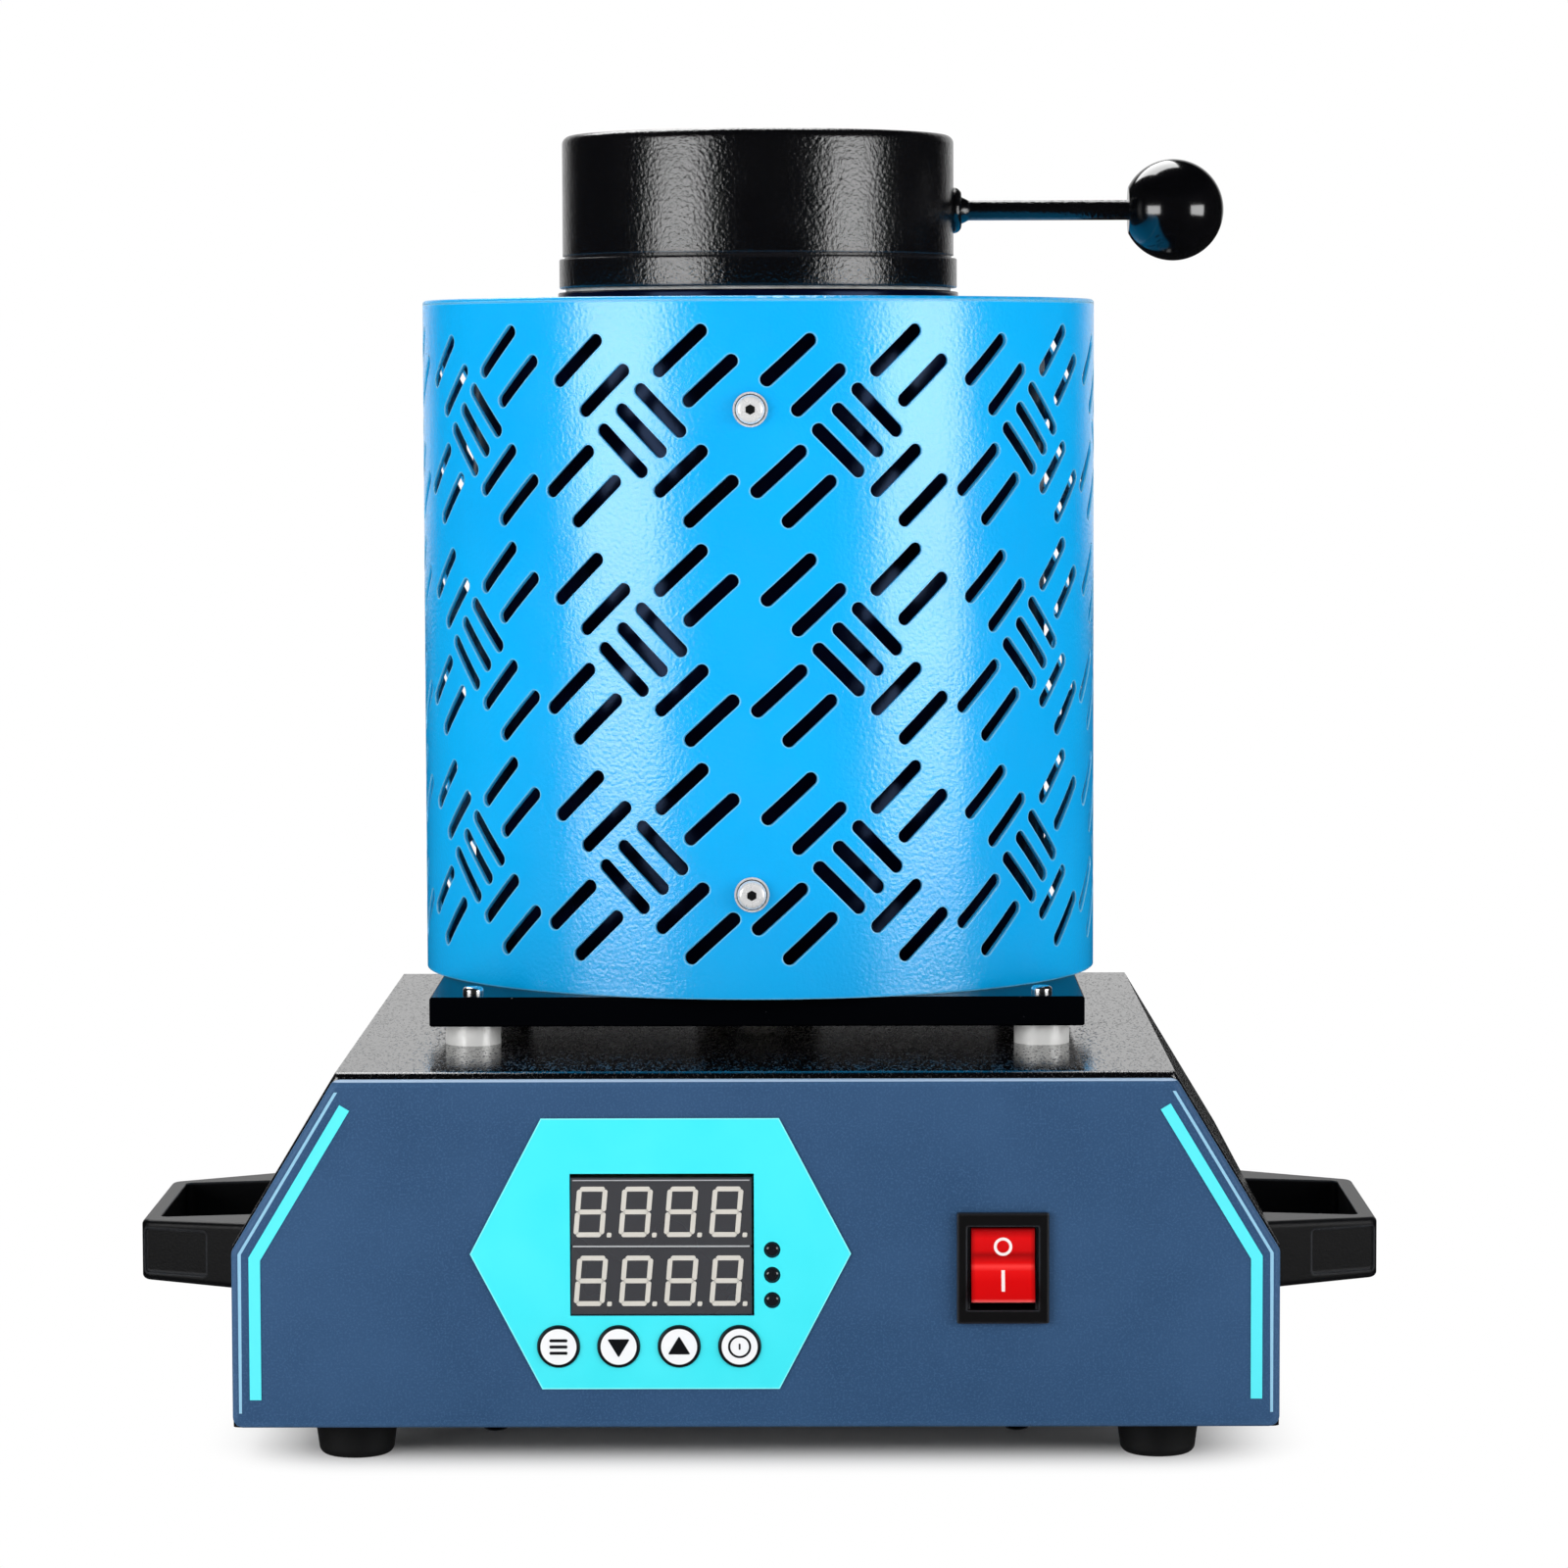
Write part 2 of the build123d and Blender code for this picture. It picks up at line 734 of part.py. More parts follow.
with BuildPart() as trim_stripes:
    with BuildSketch(upright(front_y)):
        for side in (-1, 1):
            Polygon(
                *folded_band(
                    side,
                    stripe_inset,
                    stripe_width,
                    panel_bottom + stripe_low,
                    panel_bottom + stripe_high,
                ),
                align=None,
            )
    extrude(amount=stripe_sheet)
keep(trim_stripes, "trim_stripes")


def build_display(z):
    """Four-digit LED module seen through the panel's window."""
    with BuildPart() as display:
        with BuildSketch(upright(board_face)):
            with Locations((display_x, z)):
                Rectangle(display_width, display_height)
        extrude(amount=display_depth)
        chamfer(display.faces().sort_by(Axis.Y)[0].edges(), display_edge)
    return display


display_upper = build_display(display_z + display_pitch / 2)
keep(display_upper, "display_upper")
display_lower = build_display(display_z - display_pitch / 2)
keep(display_lower, "display_lower")

with BuildPart() as controller_board:
    with BuildSketch(upright(board_face + board_sheet)):
        with Locations((overlay_x, board_z)):
            Rectangle(board_width, board_height)
        with Locations(*board_holes):
            Circle(board_stud_radius + screw_fit, mode=Mode.SUBTRACT)
    extrude(amount=board_sheet)
    with BuildSketch(upright(board_face + board_sheet)):
        with Locations((overlay_x - board_width / 4, board_z)):
            Rectangle(transformer_width, transformer_width)
        with Locations((overlay_x + board_width / 4, board_z - board_height / 4)):
            Rectangle(transformer_width, transformer_width / 2)
    extrude(amount=-transformer_height)
keep(controller_board, "controller_board")

with BuildPart() as board_spacers:
    with BuildSketch(upright(cover_front)):
        with Locations(*board_holes):
            Circle(spacer_radius)
    extrude(amount=cover_front - board_face)
    with BuildSketch(upright(board_face)):
        with Locations(*board_holes):
            Circle(board_stud_radius)
    extrude(amount=-board_sheet - screw_grip)
keep(board_spacers, "board_spacers")

with BuildPart() as tact_switches:
    with BuildSketch(upright(board_face)):
        with Locations(*[(x, button_z) for x in button_xs]):
            Rectangle(tact_size, tact_size)
    extrude(amount=tact_height)
    with BuildSketch(upright(board_face - tact_height)):
        with Locations(*[(x, button_z) for x in button_xs]):
            Circle(tact_plunger_radius)
    extrude(amount=tact_plunger_height)
keep(tact_switches, "tact_switches")

with BuildPart() as indicator_leds:
    with BuildSketch(upright(board_face)):
        with Locations(*[(led_x, z) for z in led_zs]):
            Circle(led_radius)
    extrude(amount=board_face - overlay_face + led_proud)
    fillet(indicator_leds.edges().group_by(Axis.Y)[0], led_radius * 0.7)
keep(indicator_leds, "indicator_leds")

plunger_y = board_face - tact_height - tact_plunger_height
stem_end_y = plunger_y - button_travel - running_fit
collar_face_y = cover_front + running_fit


def build_button(x):
    """Push button: cap through the panel, retaining collar behind it and a stem."""
    with BuildPart() as button:
        with BuildSketch(upright(collar_face_y)):
            with Locations((x, button_z)):
                Circle(button_radius)
        extrude(amount=collar_face_y - overlay_face + button_proud)
        fillet(button.edges().group_by(Axis.Y)[0], button_proud / 2)
        with BuildSketch(upright(collar_face_y)):
            with Locations((x, button_z)):
                Circle(button_radius + button_collar)
        extrude(amount=-button_collar_sheet)
        with BuildSketch(upright(stem_end_y)):
            with Locations((x, button_z)):
                Circle(tact_plunger_radius)
        extrude(amount=stem_end_y - collar_face_y - button_collar_sheet)
    return button


button_names = ("button_function", "button_down", "button_up", "button_power")
for button_name, button_x in zip(button_names, button_xs):
    keep(build_button(button_x), button_name)

# ---------------------------------------------------------------- rocker switch

pivot_y = front_y + rocker_pivot_depth

with BuildPart() as rocker_bezel:
    with BuildSketch(upright(front_y)):
        with Locations((switch_x, switch_z)):
            RectangleRounded(bezel_width, bezel_height, bezel_corner)
    extrude(amount=bezel_sheet)
    fillet(rocker_bezel.faces().sort_by(Axis.Y)[0].edges(), bezel_sheet / 4)
    with BuildSketch(upright(front_y)):
        with Locations((switch_x, switch_z)):
            Rectangle(switch_body_width, switch_body_height)
    extrude(amount=-switch_body_depth)
    with BuildSketch(upright(front_y)):
        with Locations((switch_x, switch_z)):
            Rectangle(bezel_opening_width, switch_opening_height)
    extrude(amount=bezel_sheet, mode=Mode.SUBTRACT)
    with BuildSketch(upright(front_y)):
        with Locations((switch_x, switch_z)):
            Rectangle(rocker_width + 2 * fit, switch_opening_height)
    extrude(amount=switch_wall - switch_body_depth, mode=Mode.SUBTRACT)
    with Locations(*facing((1, 0, 0), [(switch_x, pivot_y, switch_z)])):
        Cylinder(
            trunnion_radius + running_fit,
            rocker_width + 2 * (trunnion_length + running_fit),
            mode=Mode.SUBTRACT,
        )
keep(rocker_bezel, "rocker_bezel")

tilt = radians(rocker_tilt)
rocker_end = rocker_crown + rocker_half_height * sin(tilt) / cos(tilt)
# The sketch's x points out of the panel and its y up, both leaned back by the rest tilt.
rocker_plane = Plane(
    (switch_x, pivot_y, switch_z),
    x_dir=(0, -cos(tilt), sin(tilt)),
    z_dir=(-1, 0, 0),
)
with BuildPart() as rocker:
    with BuildSketch(rocker_plane):
        Polygon(
            (rocker_crown, 0),
            (rocker_end, rocker_half_height),
            (rocker_end - rocker_side, rocker_half_height),
            (-rocker_keel, rocker_half_height / 2),
            (-rocker_keel, -rocker_half_height / 2),
            (rocker_end - rocker_side, -rocker_half_height),
            (rocker_end, -rocker_half_height),
            align=None,
        )
    extrude(amount=rocker_width / 2, both=True)
    face_edges = rocker.edges().filter_by(Axis.X).sort_by(Axis.Y)[:3].sort_by(Axis.Z)
    fillet(face_edges[1], rocker_crease)
    face_edges = rocker.edges().filter_by(Axis.X).sort_by(Axis.Y)[:4].sort_by(Axis.Z)
    fillet([face_edges[0], face_edges[-1]], rocker_edge)
    with BuildSketch(rocker_plane):
        Circle(trunnion_radius)
    extrude(amount=rocker_width / 2 + trunnion_length, both=True)
keep(rocker, "rocker")

with BuildPart() as switch_terminals:
    with BuildSketch(upright(front_y + switch_body_depth)):
        with Locations((switch_x, switch_z)):
            with GridLocations(switch_body_width / 2, switch_body_height / 2, 2, 2):
                Rectangle(spade_sheet, spade_width)
    extrude(amount=-spade_length)
keep(switch_terminals, "switch_terminals")

# ---------------------------------------------------------------- mains inlet

inlet_pin_places = [
    (inlet_x - inlet_pin_spread / 2, inlet_z - inlet_pin_height / 2),
    (inlet_x + inlet_pin_spread / 2, inlet_z - inlet_pin_height / 2),
    (inlet_x, inlet_z + inlet_pin_height / 2),
]
inlet_floor_y = inlet_face_y - inlet_recess_depth
inlet_back_y = rear_y - inlet_body_depth

with BuildPart() as inlet_housing:
    with BuildSketch(upright(inlet_face_y)):
        with Locations((inlet_x, inlet_z)):
            RectangleRounded(inlet_flange_width, inlet_flange_height, inlet_flange_height / 4)
    extrude(amount=inlet_flange_sheet)
    with BuildSketch(upright(rear_y)):
        with Locations((inlet_x, inlet_z)):
            Rectangle(inlet_body_width, inlet_body_height)
    extrude(amount=inlet_body_depth)
    with BuildSketch(upright(inlet_face_y)):
        with Locations((inlet_x, inlet_z)):
            Rectangle(inlet_recess_width, inlet_recess_height)
    extrude(amount=inlet_recess_depth, mode=Mode.SUBTRACT)
    with BuildSketch(upright(inlet_face_y)):
        with Locations(*inlet_screw_places):
            Circle(rear_screw_radius + screw_fit)
    extrude(amount=inlet_flange_sheet, mode=Mode.SUBTRACT)
    with BuildSketch(upright(inlet_floor_y)):
        with Locations(*inlet_pin_places):
            Rectangle(inlet_pin_width + screw_fit, inlet_pin_height + screw_fit)
    extrude(amount=inlet_floor_y - inlet_back_y, mode=Mode.SUBTRACT)
keep(inlet_housing, "inlet_housing")

with BuildPart() as inlet_pins:
    with BuildSketch(upright(inlet_floor_y + inlet_pin_length)):
        with Locations(*inlet_pin_places):
            Rectangle(inlet_pin_width, inlet_pin_height)
    extrude(amount=inlet_floor_y + inlet_pin_length - inlet_back_y + spade_length)
keep(inlet_pins, "inlet_pins")

# ---------------------------------------------------------------- power parts on the tray

heatsink_top = tray_top + heatsink_fin_height + heatsink_base
heatsink_pitch = (heatsink_width - heatsink_fin) / (heatsink_fin_count - 1)
with BuildPart() as relay_heatsink:
    with BuildSketch(Plane.XY.offset(tray_top)):
        with Locations((relay_x, relay_y)):
            with GridLocations(heatsink_pitch, 1, heatsink_fin_count, 1):
                Rectangle(heatsink_fin, heatsink_length)
    extrude(amount=heatsink_fin_height)
    with BuildSketch(Plane.XY.offset(tray_top + heatsink_fin_height)):
        with Locations((relay_x, relay_y)):
            Rectangle(heatsink_width, heatsink_length)
    extrude(amount=heatsink_base)
keep(relay_heatsink, "relay_heatsink")

with BuildPart() as solid_state_relay:
    with BuildSketch(Plane.XY.offset(heatsink_top)):
        with Locations((relay_x, relay_y)):
            Rectangle(relay_width, relay_length)
    extrude(amount=relay_height)
    chamfer(solid_state_relay.faces().sort_by(Axis.Z)[-1].edges(), relay_height / 13)
    with BuildSketch(Plane.XY.offset(heatsink_top + relay_height)):
        with Locations((relay_x, relay_y)):
            with GridLocations(relay_width / 2, relay_length * 0.7, 2, 2):
                Circle(relay_screw_well)
    extrude(amount=-relay_height / 4, mode=Mode.SUBTRACT)
keep(solid_state_relay, "solid_state_relay")

terminal_centre = (0, (lead_places[0][1] + lead_places[1][1]) / 2)
terminal_top = tray_top + terminal_height
with BuildPart() as terminal_block:
    with BuildSketch(Plane.XY.offset(tray_top)):
        with Locations(terminal_centre):
            Rectangle(terminal_width, terminal_length)
    extrude(amount=terminal_height)
    with BuildSketch(Plane.XY.offset(terminal_top)):
        with Locations(*lead_places):
            Circle(lead_radius + fit)
    extrude(amount=-terminal_height / 2, mode=Mode.SUBTRACT)
keep(terminal_block, "terminal_block")

# ---------------------------------------------------------------- support plate

with BuildPart() as support_plate:
    with BuildSketch(level(plate_bottom)):
        Rectangle(plate_width, plate_width)
    extrude(amount=plate_sheet)
    chamfer(support_plate.edges().filter_by(Axis.Z, reverse=True), plate_edge)
    with BuildSketch(Plane.XY.offset(plate_bottom)):
        with Locations(*plate_corners):
            Circle(plate_screw_radius + screw_fit)
        with Locations(*case_bolt_places):
            Circle(case_bolt_radius + screw_fit)
        with Locations(*lead_places, (0, furnace_y)):
            Circle(bushing_radius + screw_fit)
    extrude(amount=plate_sheet, mode=Mode.SUBTRACT)
keep(support_plate, "support_plate")

with BuildPart() as standoffs:
    with BuildSketch(Plane.XY.offset(cover_top)):
        with Locations(*plate_corners):
            Circle(standoff_radius)
            Circle(plate_screw_radius + screw_fit, mode=Mode.SUBTRACT)
    extrude(amount=standoff_height)
keep(standoffs, "standoffs")

plate_grip = plate_sheet + standoff_height + cover_sheet + plate_nut_height
keep_screws(
    "plate_screws",
    [((0, 0, 1), [(x, y, plate_top) for x, y in plate_corners])],
    plate_screw_head,
    plate_screw_dome,
    plate_screw_radius,
    plate_grip + screw_grip,
)

with BuildPart() as plate_nuts:
    with BuildSketch(Plane.XY.offset(cover_top - cover_sheet)):
        with Locations(*plate_corners):
            RegularPolygon(plate_nut_width / 2, 6, major_radius=False)
            Circle(plate_screw_radius + running_fit, mode=Mode.SUBTRACT)
    extrude(amount=-plate_nut_height)
keep(plate_nuts, "plate_nuts")

# ---------------------------------------------------------------- perforated guard

pattern_middle = (guard_bottom + guard_top_z) / 2 + cluster_rise
cluster_zs = [pattern_middle + row * cluster_row_pitch for row in (-1, 0, 1)]
cluster_arcs = [
    (n - (cluster_count - 1) / 2) * cluster_pitch + cluster_shift for n in range(cluster_count)
]
cluster_planes = [
    Plane(
        (*polar(guard_radius, angle), z),
        x_dir=(-sin(radians(angle)), cos(radians(angle)), 0),
        z_dir=(cos(radians(angle)), sin(radians(angle)), 0),
    )
    for z in cluster_zs
    for angle in [-90 + degrees(arc / guard_radius) for arc in cluster_arcs]
]
half_step = slot_step / sqrt(2)
half_gap = slot_gap / 2 / sqrt(2)
crossing_slots = [(-half_step, -half_step), (0, 0), (half_step, half_step)]
flanking_slots = [
    (x + way * half_gap, z - way * half_gap) for x, z in slot_pairs for way in (-1, 1)
]
with BuildPart() as guard_shell:
    with BuildSketch(level(guard_bottom)):
        Circle(guard_radius)
        Circle(guard_radius - guard_sheet, mode=Mode.SUBTRACT)
    extrude(amount=guard_height - guard_sheet)
    with BuildSketch(*cluster_planes):
        with Locations(*crossing_slots):
            SlotOverall(slot_length, slot_width, rotation=crossing_angle)
        with Locations(*flanking_slots):
            SlotOverall(slot_length, slot_width, rotation=flanking_angle)
    extrude(amount=-slot_cut_depth, mode=Mode.SUBTRACT)
    for direction, seats in guard_screw_sets:
        with Locations(*facing(direction, seats)):
            Cylinder(
                guard_screw_radius + screw_fit,
                slot_cut_depth,
                align=HANGING,
                mode=Mode.SUBTRACT,
            )
keep(guard_shell, "guard_shell")

with BuildPart() as guard_top:
    with BuildSketch(level(guard_disc_bottom)):
        Circle(guard_radius)
        Circle(collar_radius + fit, mode=Mode.SUBTRACT)
        with Locations((0, hinge_offset)):
            Circle(post_thread_radius + screw_fit, mode=Mode.SUBTRACT)
    extrude(amount=guard_sheet)
    fillet(guard_top.edges().group_by(Axis.Z)[-1].sort_by(SortBy.LENGTH)[-1], guard_rim)
keep(guard_top, "guard_top")

with BuildPart() as guard_standoffs:
    for direction, seats in guard_screw_sets:
        with Locations(*facing(direction, seats)):
            Cylinder(guard_boss_radius, guard_radius - case_radius + 1, align=HANGING)
    with BuildSketch(level(guard_bottom)):
        Circle(guard_radius - guard_sheet - seat)
        Circle(case_radius + seat / 2, mode=Mode.SUBTRACT)
    extrude(amount=guard_height, mode=Mode.INTERSECT)
    for direction, seats in guard_screw_sets:
        with Locations(*facing(direction, seats)):
            Cylinder(
                guard_screw_radius + screw_fit,
                guard_screw_length + fit,
                align=HANGING,
                mode=Mode.SUBTRACT,
            )
keep(guard_standoffs, "guard_standoffs")

washer_seats = [
    (direction, [(x, y + direction[1] * seat, z) for x, y, z in seats])
    for direction, seats in guard_screw_sets
]
with BuildPart() as guard_washers:
    for direction, seats in washer_seats:
        with Locations(*facing(direction, seats)):
            Cylinder(guard_washer_radius, guard_washer_sheet, align=STANDING)
            Cylinder(
                guard_screw_radius + screw_fit,
                guard_washer_sheet,
                align=STANDING,
                mode=Mode.SUBTRACT,
            )
keep(guard_washers, "guard_washers")

keep_screws(
    "guard_screws",
    [
        (direction, [(x, y + direction[1] * guard_washer_sheet, z) for x, y, z in seats])
        for direction, seats in washer_seats
    ],
    guard_screw_head,
    guard_screw_head_height,
    guard_screw_radius,
    guard_screw_length,
    socket=guard_socket,
)

# ---------------------------------------------------------------- chamber

with BuildPart() as inner_case:
    with BuildSketch(level(guard_bottom)):
        Circle(case_radius)
    extrude(amount=collar_bottom - guard_bottom)
    offset(amount=-case_sheet, openings=inner_case.faces().sort_by(Axis.Z)[-1])
    with BuildSketch(Plane.XY.offset(guard_bottom)):
        with Locations(*case_bolt_places):
            Circle(case_bolt_radius + screw_fit)
        with Locations(*lead_places, (0, furnace_y)):
            Circle(bushing_radius + screw_fit)
    extrude(amount=case_sheet, mode=Mode.SUBTRACT)
keep(inner_case, "inner_case")

keep_screws(
    "case_bolts",
    [((0, 0, 1), [(x, y, case_floor) for x, y in case_bolt_places])],
    case_bolt_head,
    case_bolt_head_height,
    case_bolt_radius,
    case_sheet + plate_sheet,
)

with BuildPart() as base_insulation:
    with BuildSketch(level(case_floor)):
        Circle(packing_radius)
    extrude(amount=liner_bottom - case_floor)
    with BuildSketch(Plane.XY.offset(case_floor)):
        with Locations(*case_bolt_places):
            Circle(case_bolt_head + fit)
    extrude(amount=case_bolt_head_height + fit, mode=Mode.SUBTRACT)
    with BuildSketch(Plane.XY.offset(case_floor)):
        with Locations(*lead_places):
            Circle(lead_radius + fit)
        with Locations((0, furnace_y)):
            Circle(sheath_radius + fit)
    extrude(amount=liner_bottom - case_floor, mode=Mode.SUBTRACT)
keep(base_insulation, "base_insulation")

with BuildPart() as chamber_liner:
    with BuildSketch(level(liner_bottom)):
        Circle(liner_radius)
    extrude(amount=liner_top - liner_bottom)
    with BuildSketch(level(liner_top)):
        Circle(bore_radius)
    extrude(amount=-bore_depth, mode=Mode.SUBTRACT)
    rim = chamber_liner.edges().group_by(Axis.Z)[-1].sort_by(SortBy.LENGTH)[-1]
    fillet(rim, liner_wall / 8)
keep(chamber_liner, "chamber_liner")

with BuildPart() as heating_coil:
    with BuildLine(level(coil_bottom).rotated((0, 0, lead_angle))) as coil_path:
        Helix(coil_pitch, coil_height, coil_radius)
    with BuildSketch(Plane(coil_path.line @ 0, z_dir=coil_path.line % 0)):
        Circle(wire_radius)
    sweep(path=coil_path.line, is_frenet=True)
keep(heating_coil, "heating_coil")

lead_foot_z = terminal_top - terminal_height / 2 + fit
upper_lead_top = polar(lead_reach, lead_angle + lead_spread)
upper_lead_tip = polar(coil_radius + wire_radius + seat, lead_angle + lead_spread)
with BuildPart() as heater_leads:
    with BuildSketch(Plane.XY.offset(lead_foot_z)):
        with Locations(lead_places[0]):
            Circle(lead_radius)
    extrude(amount=coil_bottom - wire_radius - seat - lead_foot_z)
    with BuildLine() as upper_lead:
        FilletPolyline(
            (*upper_lead_top, lead_foot_z),
            (*upper_lead_top, coil_top),
            (*upper_lead_tip, coil_top),
            radius=2 * lead_radius,
        )
    with BuildSketch(Plane.XY.offset(lead_foot_z)):
        with Locations(upper_lead_top):
            Circle(lead_radius)
    sweep(path=upper_lead.line)
keep(heater_leads, "heater_leads")

bushing_bottom = cover_top - cover_sheet - bushing_collar_height
with BuildPart() as lead_bushings:
    with BuildSketch(Plane.XY.offset(bushing_bottom)):
        with Locations(*lead_places, (0, furnace_y)):
            Circle(bushing_radius)
    extrude(amount=case_floor - bushing_bottom)
    with BuildSketch(Plane.XY.offset(cover_top)):
        with Locations(*lead_places, (0, furnace_y)):
            Circle(bushing_collar)
    extrude(amount=bushing_collar_height)
    with BuildSketch(Plane.XY.offset(bushing_bottom)):
        with Locations(*lead_places):
            Circle(lead_radius + fit)
        with Locations((0, furnace_y)):
            Circle(sheath_radius + fit)
    extrude(amount=case_floor - bushing_bottom, mode=Mode.SUBTRACT)
keep(lead_bushings, "lead_bushings")

with BuildPart() as thermocouple:
    with BuildSketch(level(bushing_bottom - thermocouple_head_height)):
        RectangleRounded(thermocouple_head_width, thermocouple_head_width, 2.0)
    extrude(amount=thermocouple_head_height)
    with BuildSketch(level(bushing_bottom)):
        Circle(sheath_radius)
    extrude(amount=liner_bottom - seat - bushing_bottom)
keep(thermocouple, "thermocouple")

with BuildPart() as insulation_blanket:
    with BuildSketch(level(liner_bottom)):
        Circle(packing_radius)
        Circle(blanket_radius, mode=Mode.SUBTRACT)
    extrude(amount=top_ring_bottom - liner_bottom)
    channel_centre = (blanket_radius + lead_reach) / 2
    channel_length = lead_reach - blanket_radius + 4 * (lead_radius + fit)
    with BuildSketch(level(liner_bottom).rotated((0, 0, lead_angle + lead_spread))):
        with Locations((channel_centre, 0)):
            Rectangle(channel_length, 2 * (lead_radius + fit))
    extrude(amount=coil_top - liner_bottom + 2 * lead_radius, mode=Mode.SUBTRACT)
keep(insulation_blanket, "insulation_blanket")

with BuildPart() as top_insulation:
    with BuildSketch(level(top_ring_bottom)):
        Circle(packing_radius)
        Circle(mouth_radius, mode=Mode.SUBTRACT)
    extrude(amount=top_ring_depth)
    with BuildSketch(level(top_ring_bottom)):
        Circle(liner_radius + fit)
    extrude(amount=liner_top + fit - top_ring_bottom, mode=Mode.SUBTRACT)
    with BuildSketch(level(collar_bottom)):
        with Locations((0, hinge_offset)):
            Circle(hinge_nut_width / 2 + 4 * fit)
    extrude(amount=-hinge_nut_height - 4 * fit, mode=Mode.SUBTRACT)
keep(top_insulation, "top_insulation")

with BuildPart() as collar_ring:
    with BuildSketch(level(collar_bottom)):
        Circle(case_radius)
        Circle(mouth_radius, mode=Mode.SUBTRACT)
        with Locations((0, hinge_offset)):
            Circle(post_thread_radius + screw_fit, mode=Mode.SUBTRACT)
    extrude(amount=collar_flange)
    with BuildSketch(level(collar_bottom)):
        Circle(collar_radius)
        Circle(mouth_radius, mode=Mode.SUBTRACT)
    extrude(amount=collar_top - collar_bottom)
    fillet(collar_ring.edges().group_by(Axis.Z)[-1], collar_flange / 3)
keep(collar_ring, "collar_ring")

# ---------------------------------------------------------------- lid

with BuildPart() as lid_shell:
    with BuildSketch(level(lid_bottom)):
        Circle(lid_radius)
    extrude(amount=lid_height)
    fillet(lid_shell.edges().group_by(Axis.Z)[-1], lid_round)
    offset(amount=-lid_sheet, openings=lid_shell.faces().sort_by(Axis.Z)[0])
    with BuildSketch(level(lid_bottom + lid_band_height)):
        Circle(lid_radius)
        Circle(lid_radius - lid_groove_depth, mode=Mode.SUBTRACT)
    extrude(amount=lid_groove, mode=Mode.SUBTRACT)
keep(lid_shell, "lid_shell")

with BuildPart() as lid_band:
    with BuildSketch(level(lid_bottom)):
        Circle(lid_band_radius)
        Circle(lid_radius + running_fit, mode=Mode.SUBTRACT)
    extrude(amount=lid_band_height)
    outer_rims = lid_band.edges().filter_by(GeomType.CIRCLE).group_by(SortBy.RADIUS)[-1]
    fillet(outer_rims, (lid_band_radius - lid_radius) / 2)
keep(lid_band, "lid_band")

with BuildPart() as lid_insulation:
    with BuildSketch(level(lid_bottom)):
        Circle(lid_radius - lid_sheet - fit)
    extrude(amount=lid_height - lid_sheet - fit)
    chamfer(lid_insulation.edges().group_by(Axis.Z)[-1], lid_round - lid_sheet)
keep(lid_insulation, "lid_insulation")

with BuildPart() as lid_gasket:
    with BuildSketch(level(collar_top + lid_rest_gap)):
        Circle(lid_gasket_outer)
        Circle(lid_gasket_inner, mode=Mode.SUBTRACT)
    extrude(amount=lid_gap - lid_rest_gap)
keep(lid_gasket, "lid_gasket")

lid_wall_depth = lid_round  # how far welded roots are drawn in before the wall trims them
with BuildPart() as lid_rod:
    with Locations(*facing((1, 0, 0), [(lid_radius - lid_wall_depth, furnace_y, rod_z)])):
        Cone(rod_root_radius, rod_radius, rod_root_length + lid_wall_depth, align=STANDING)
        rod_length = knob_x - knob_flat + knob_bore_depth - lid_radius + lid_wall_depth
        Cylinder(rod_radius, rod_length, align=STANDING)
    with BuildSketch(level(lid_bottom)):
        Circle(lid_radius + running_fit)
    extrude(amount=lid_height, mode=Mode.SUBTRACT)
keep(lid_rod, "lid_rod")

with BuildPart() as ball_knob:
    with Locations((knob_x, furnace_y, rod_z)):
        Sphere(knob_radius)
    with BuildSketch(Plane.YZ.offset(knob_x - knob_flat)):
        with Locations((furnace_y, rod_z)):
            Circle(knob_radius)
    extrude(amount=-knob_radius, mode=Mode.SUBTRACT)
    with BuildSketch(Plane.YZ.offset(knob_x - knob_flat)):
        with Locations((furnace_y, rod_z)):
            Circle(rod_radius + running_fit)
    extrude(amount=knob_bore_depth + seat, mode=Mode.SUBTRACT)
keep(ball_knob, "ball_knob")

# ---------------------------------------------------------------- lid hinge

post_top = sleeve_top + fit
with BuildPart() as hinge_post:
    with BuildSketch(level(guard_top_z)):
        with Locations((0, hinge_offset)):
            Circle(shoulder_radius)
    extrude(amount=shoulder_height)
    with BuildSketch(level(guard_top_z)):
        with Locations((0, hinge_offset)):
            Circle(post_radius)
    extrude(amount=post_top - guard_top_z)
    with BuildSketch(level(collar_bottom - hinge_nut_height)):
        with Locations((0, hinge_offset)):
            Circle(post_thread_radius)
    extrude(amount=post_top + hinge_nut_height - collar_bottom + hinge_nut_height)
keep(hinge_post, "hinge_post")

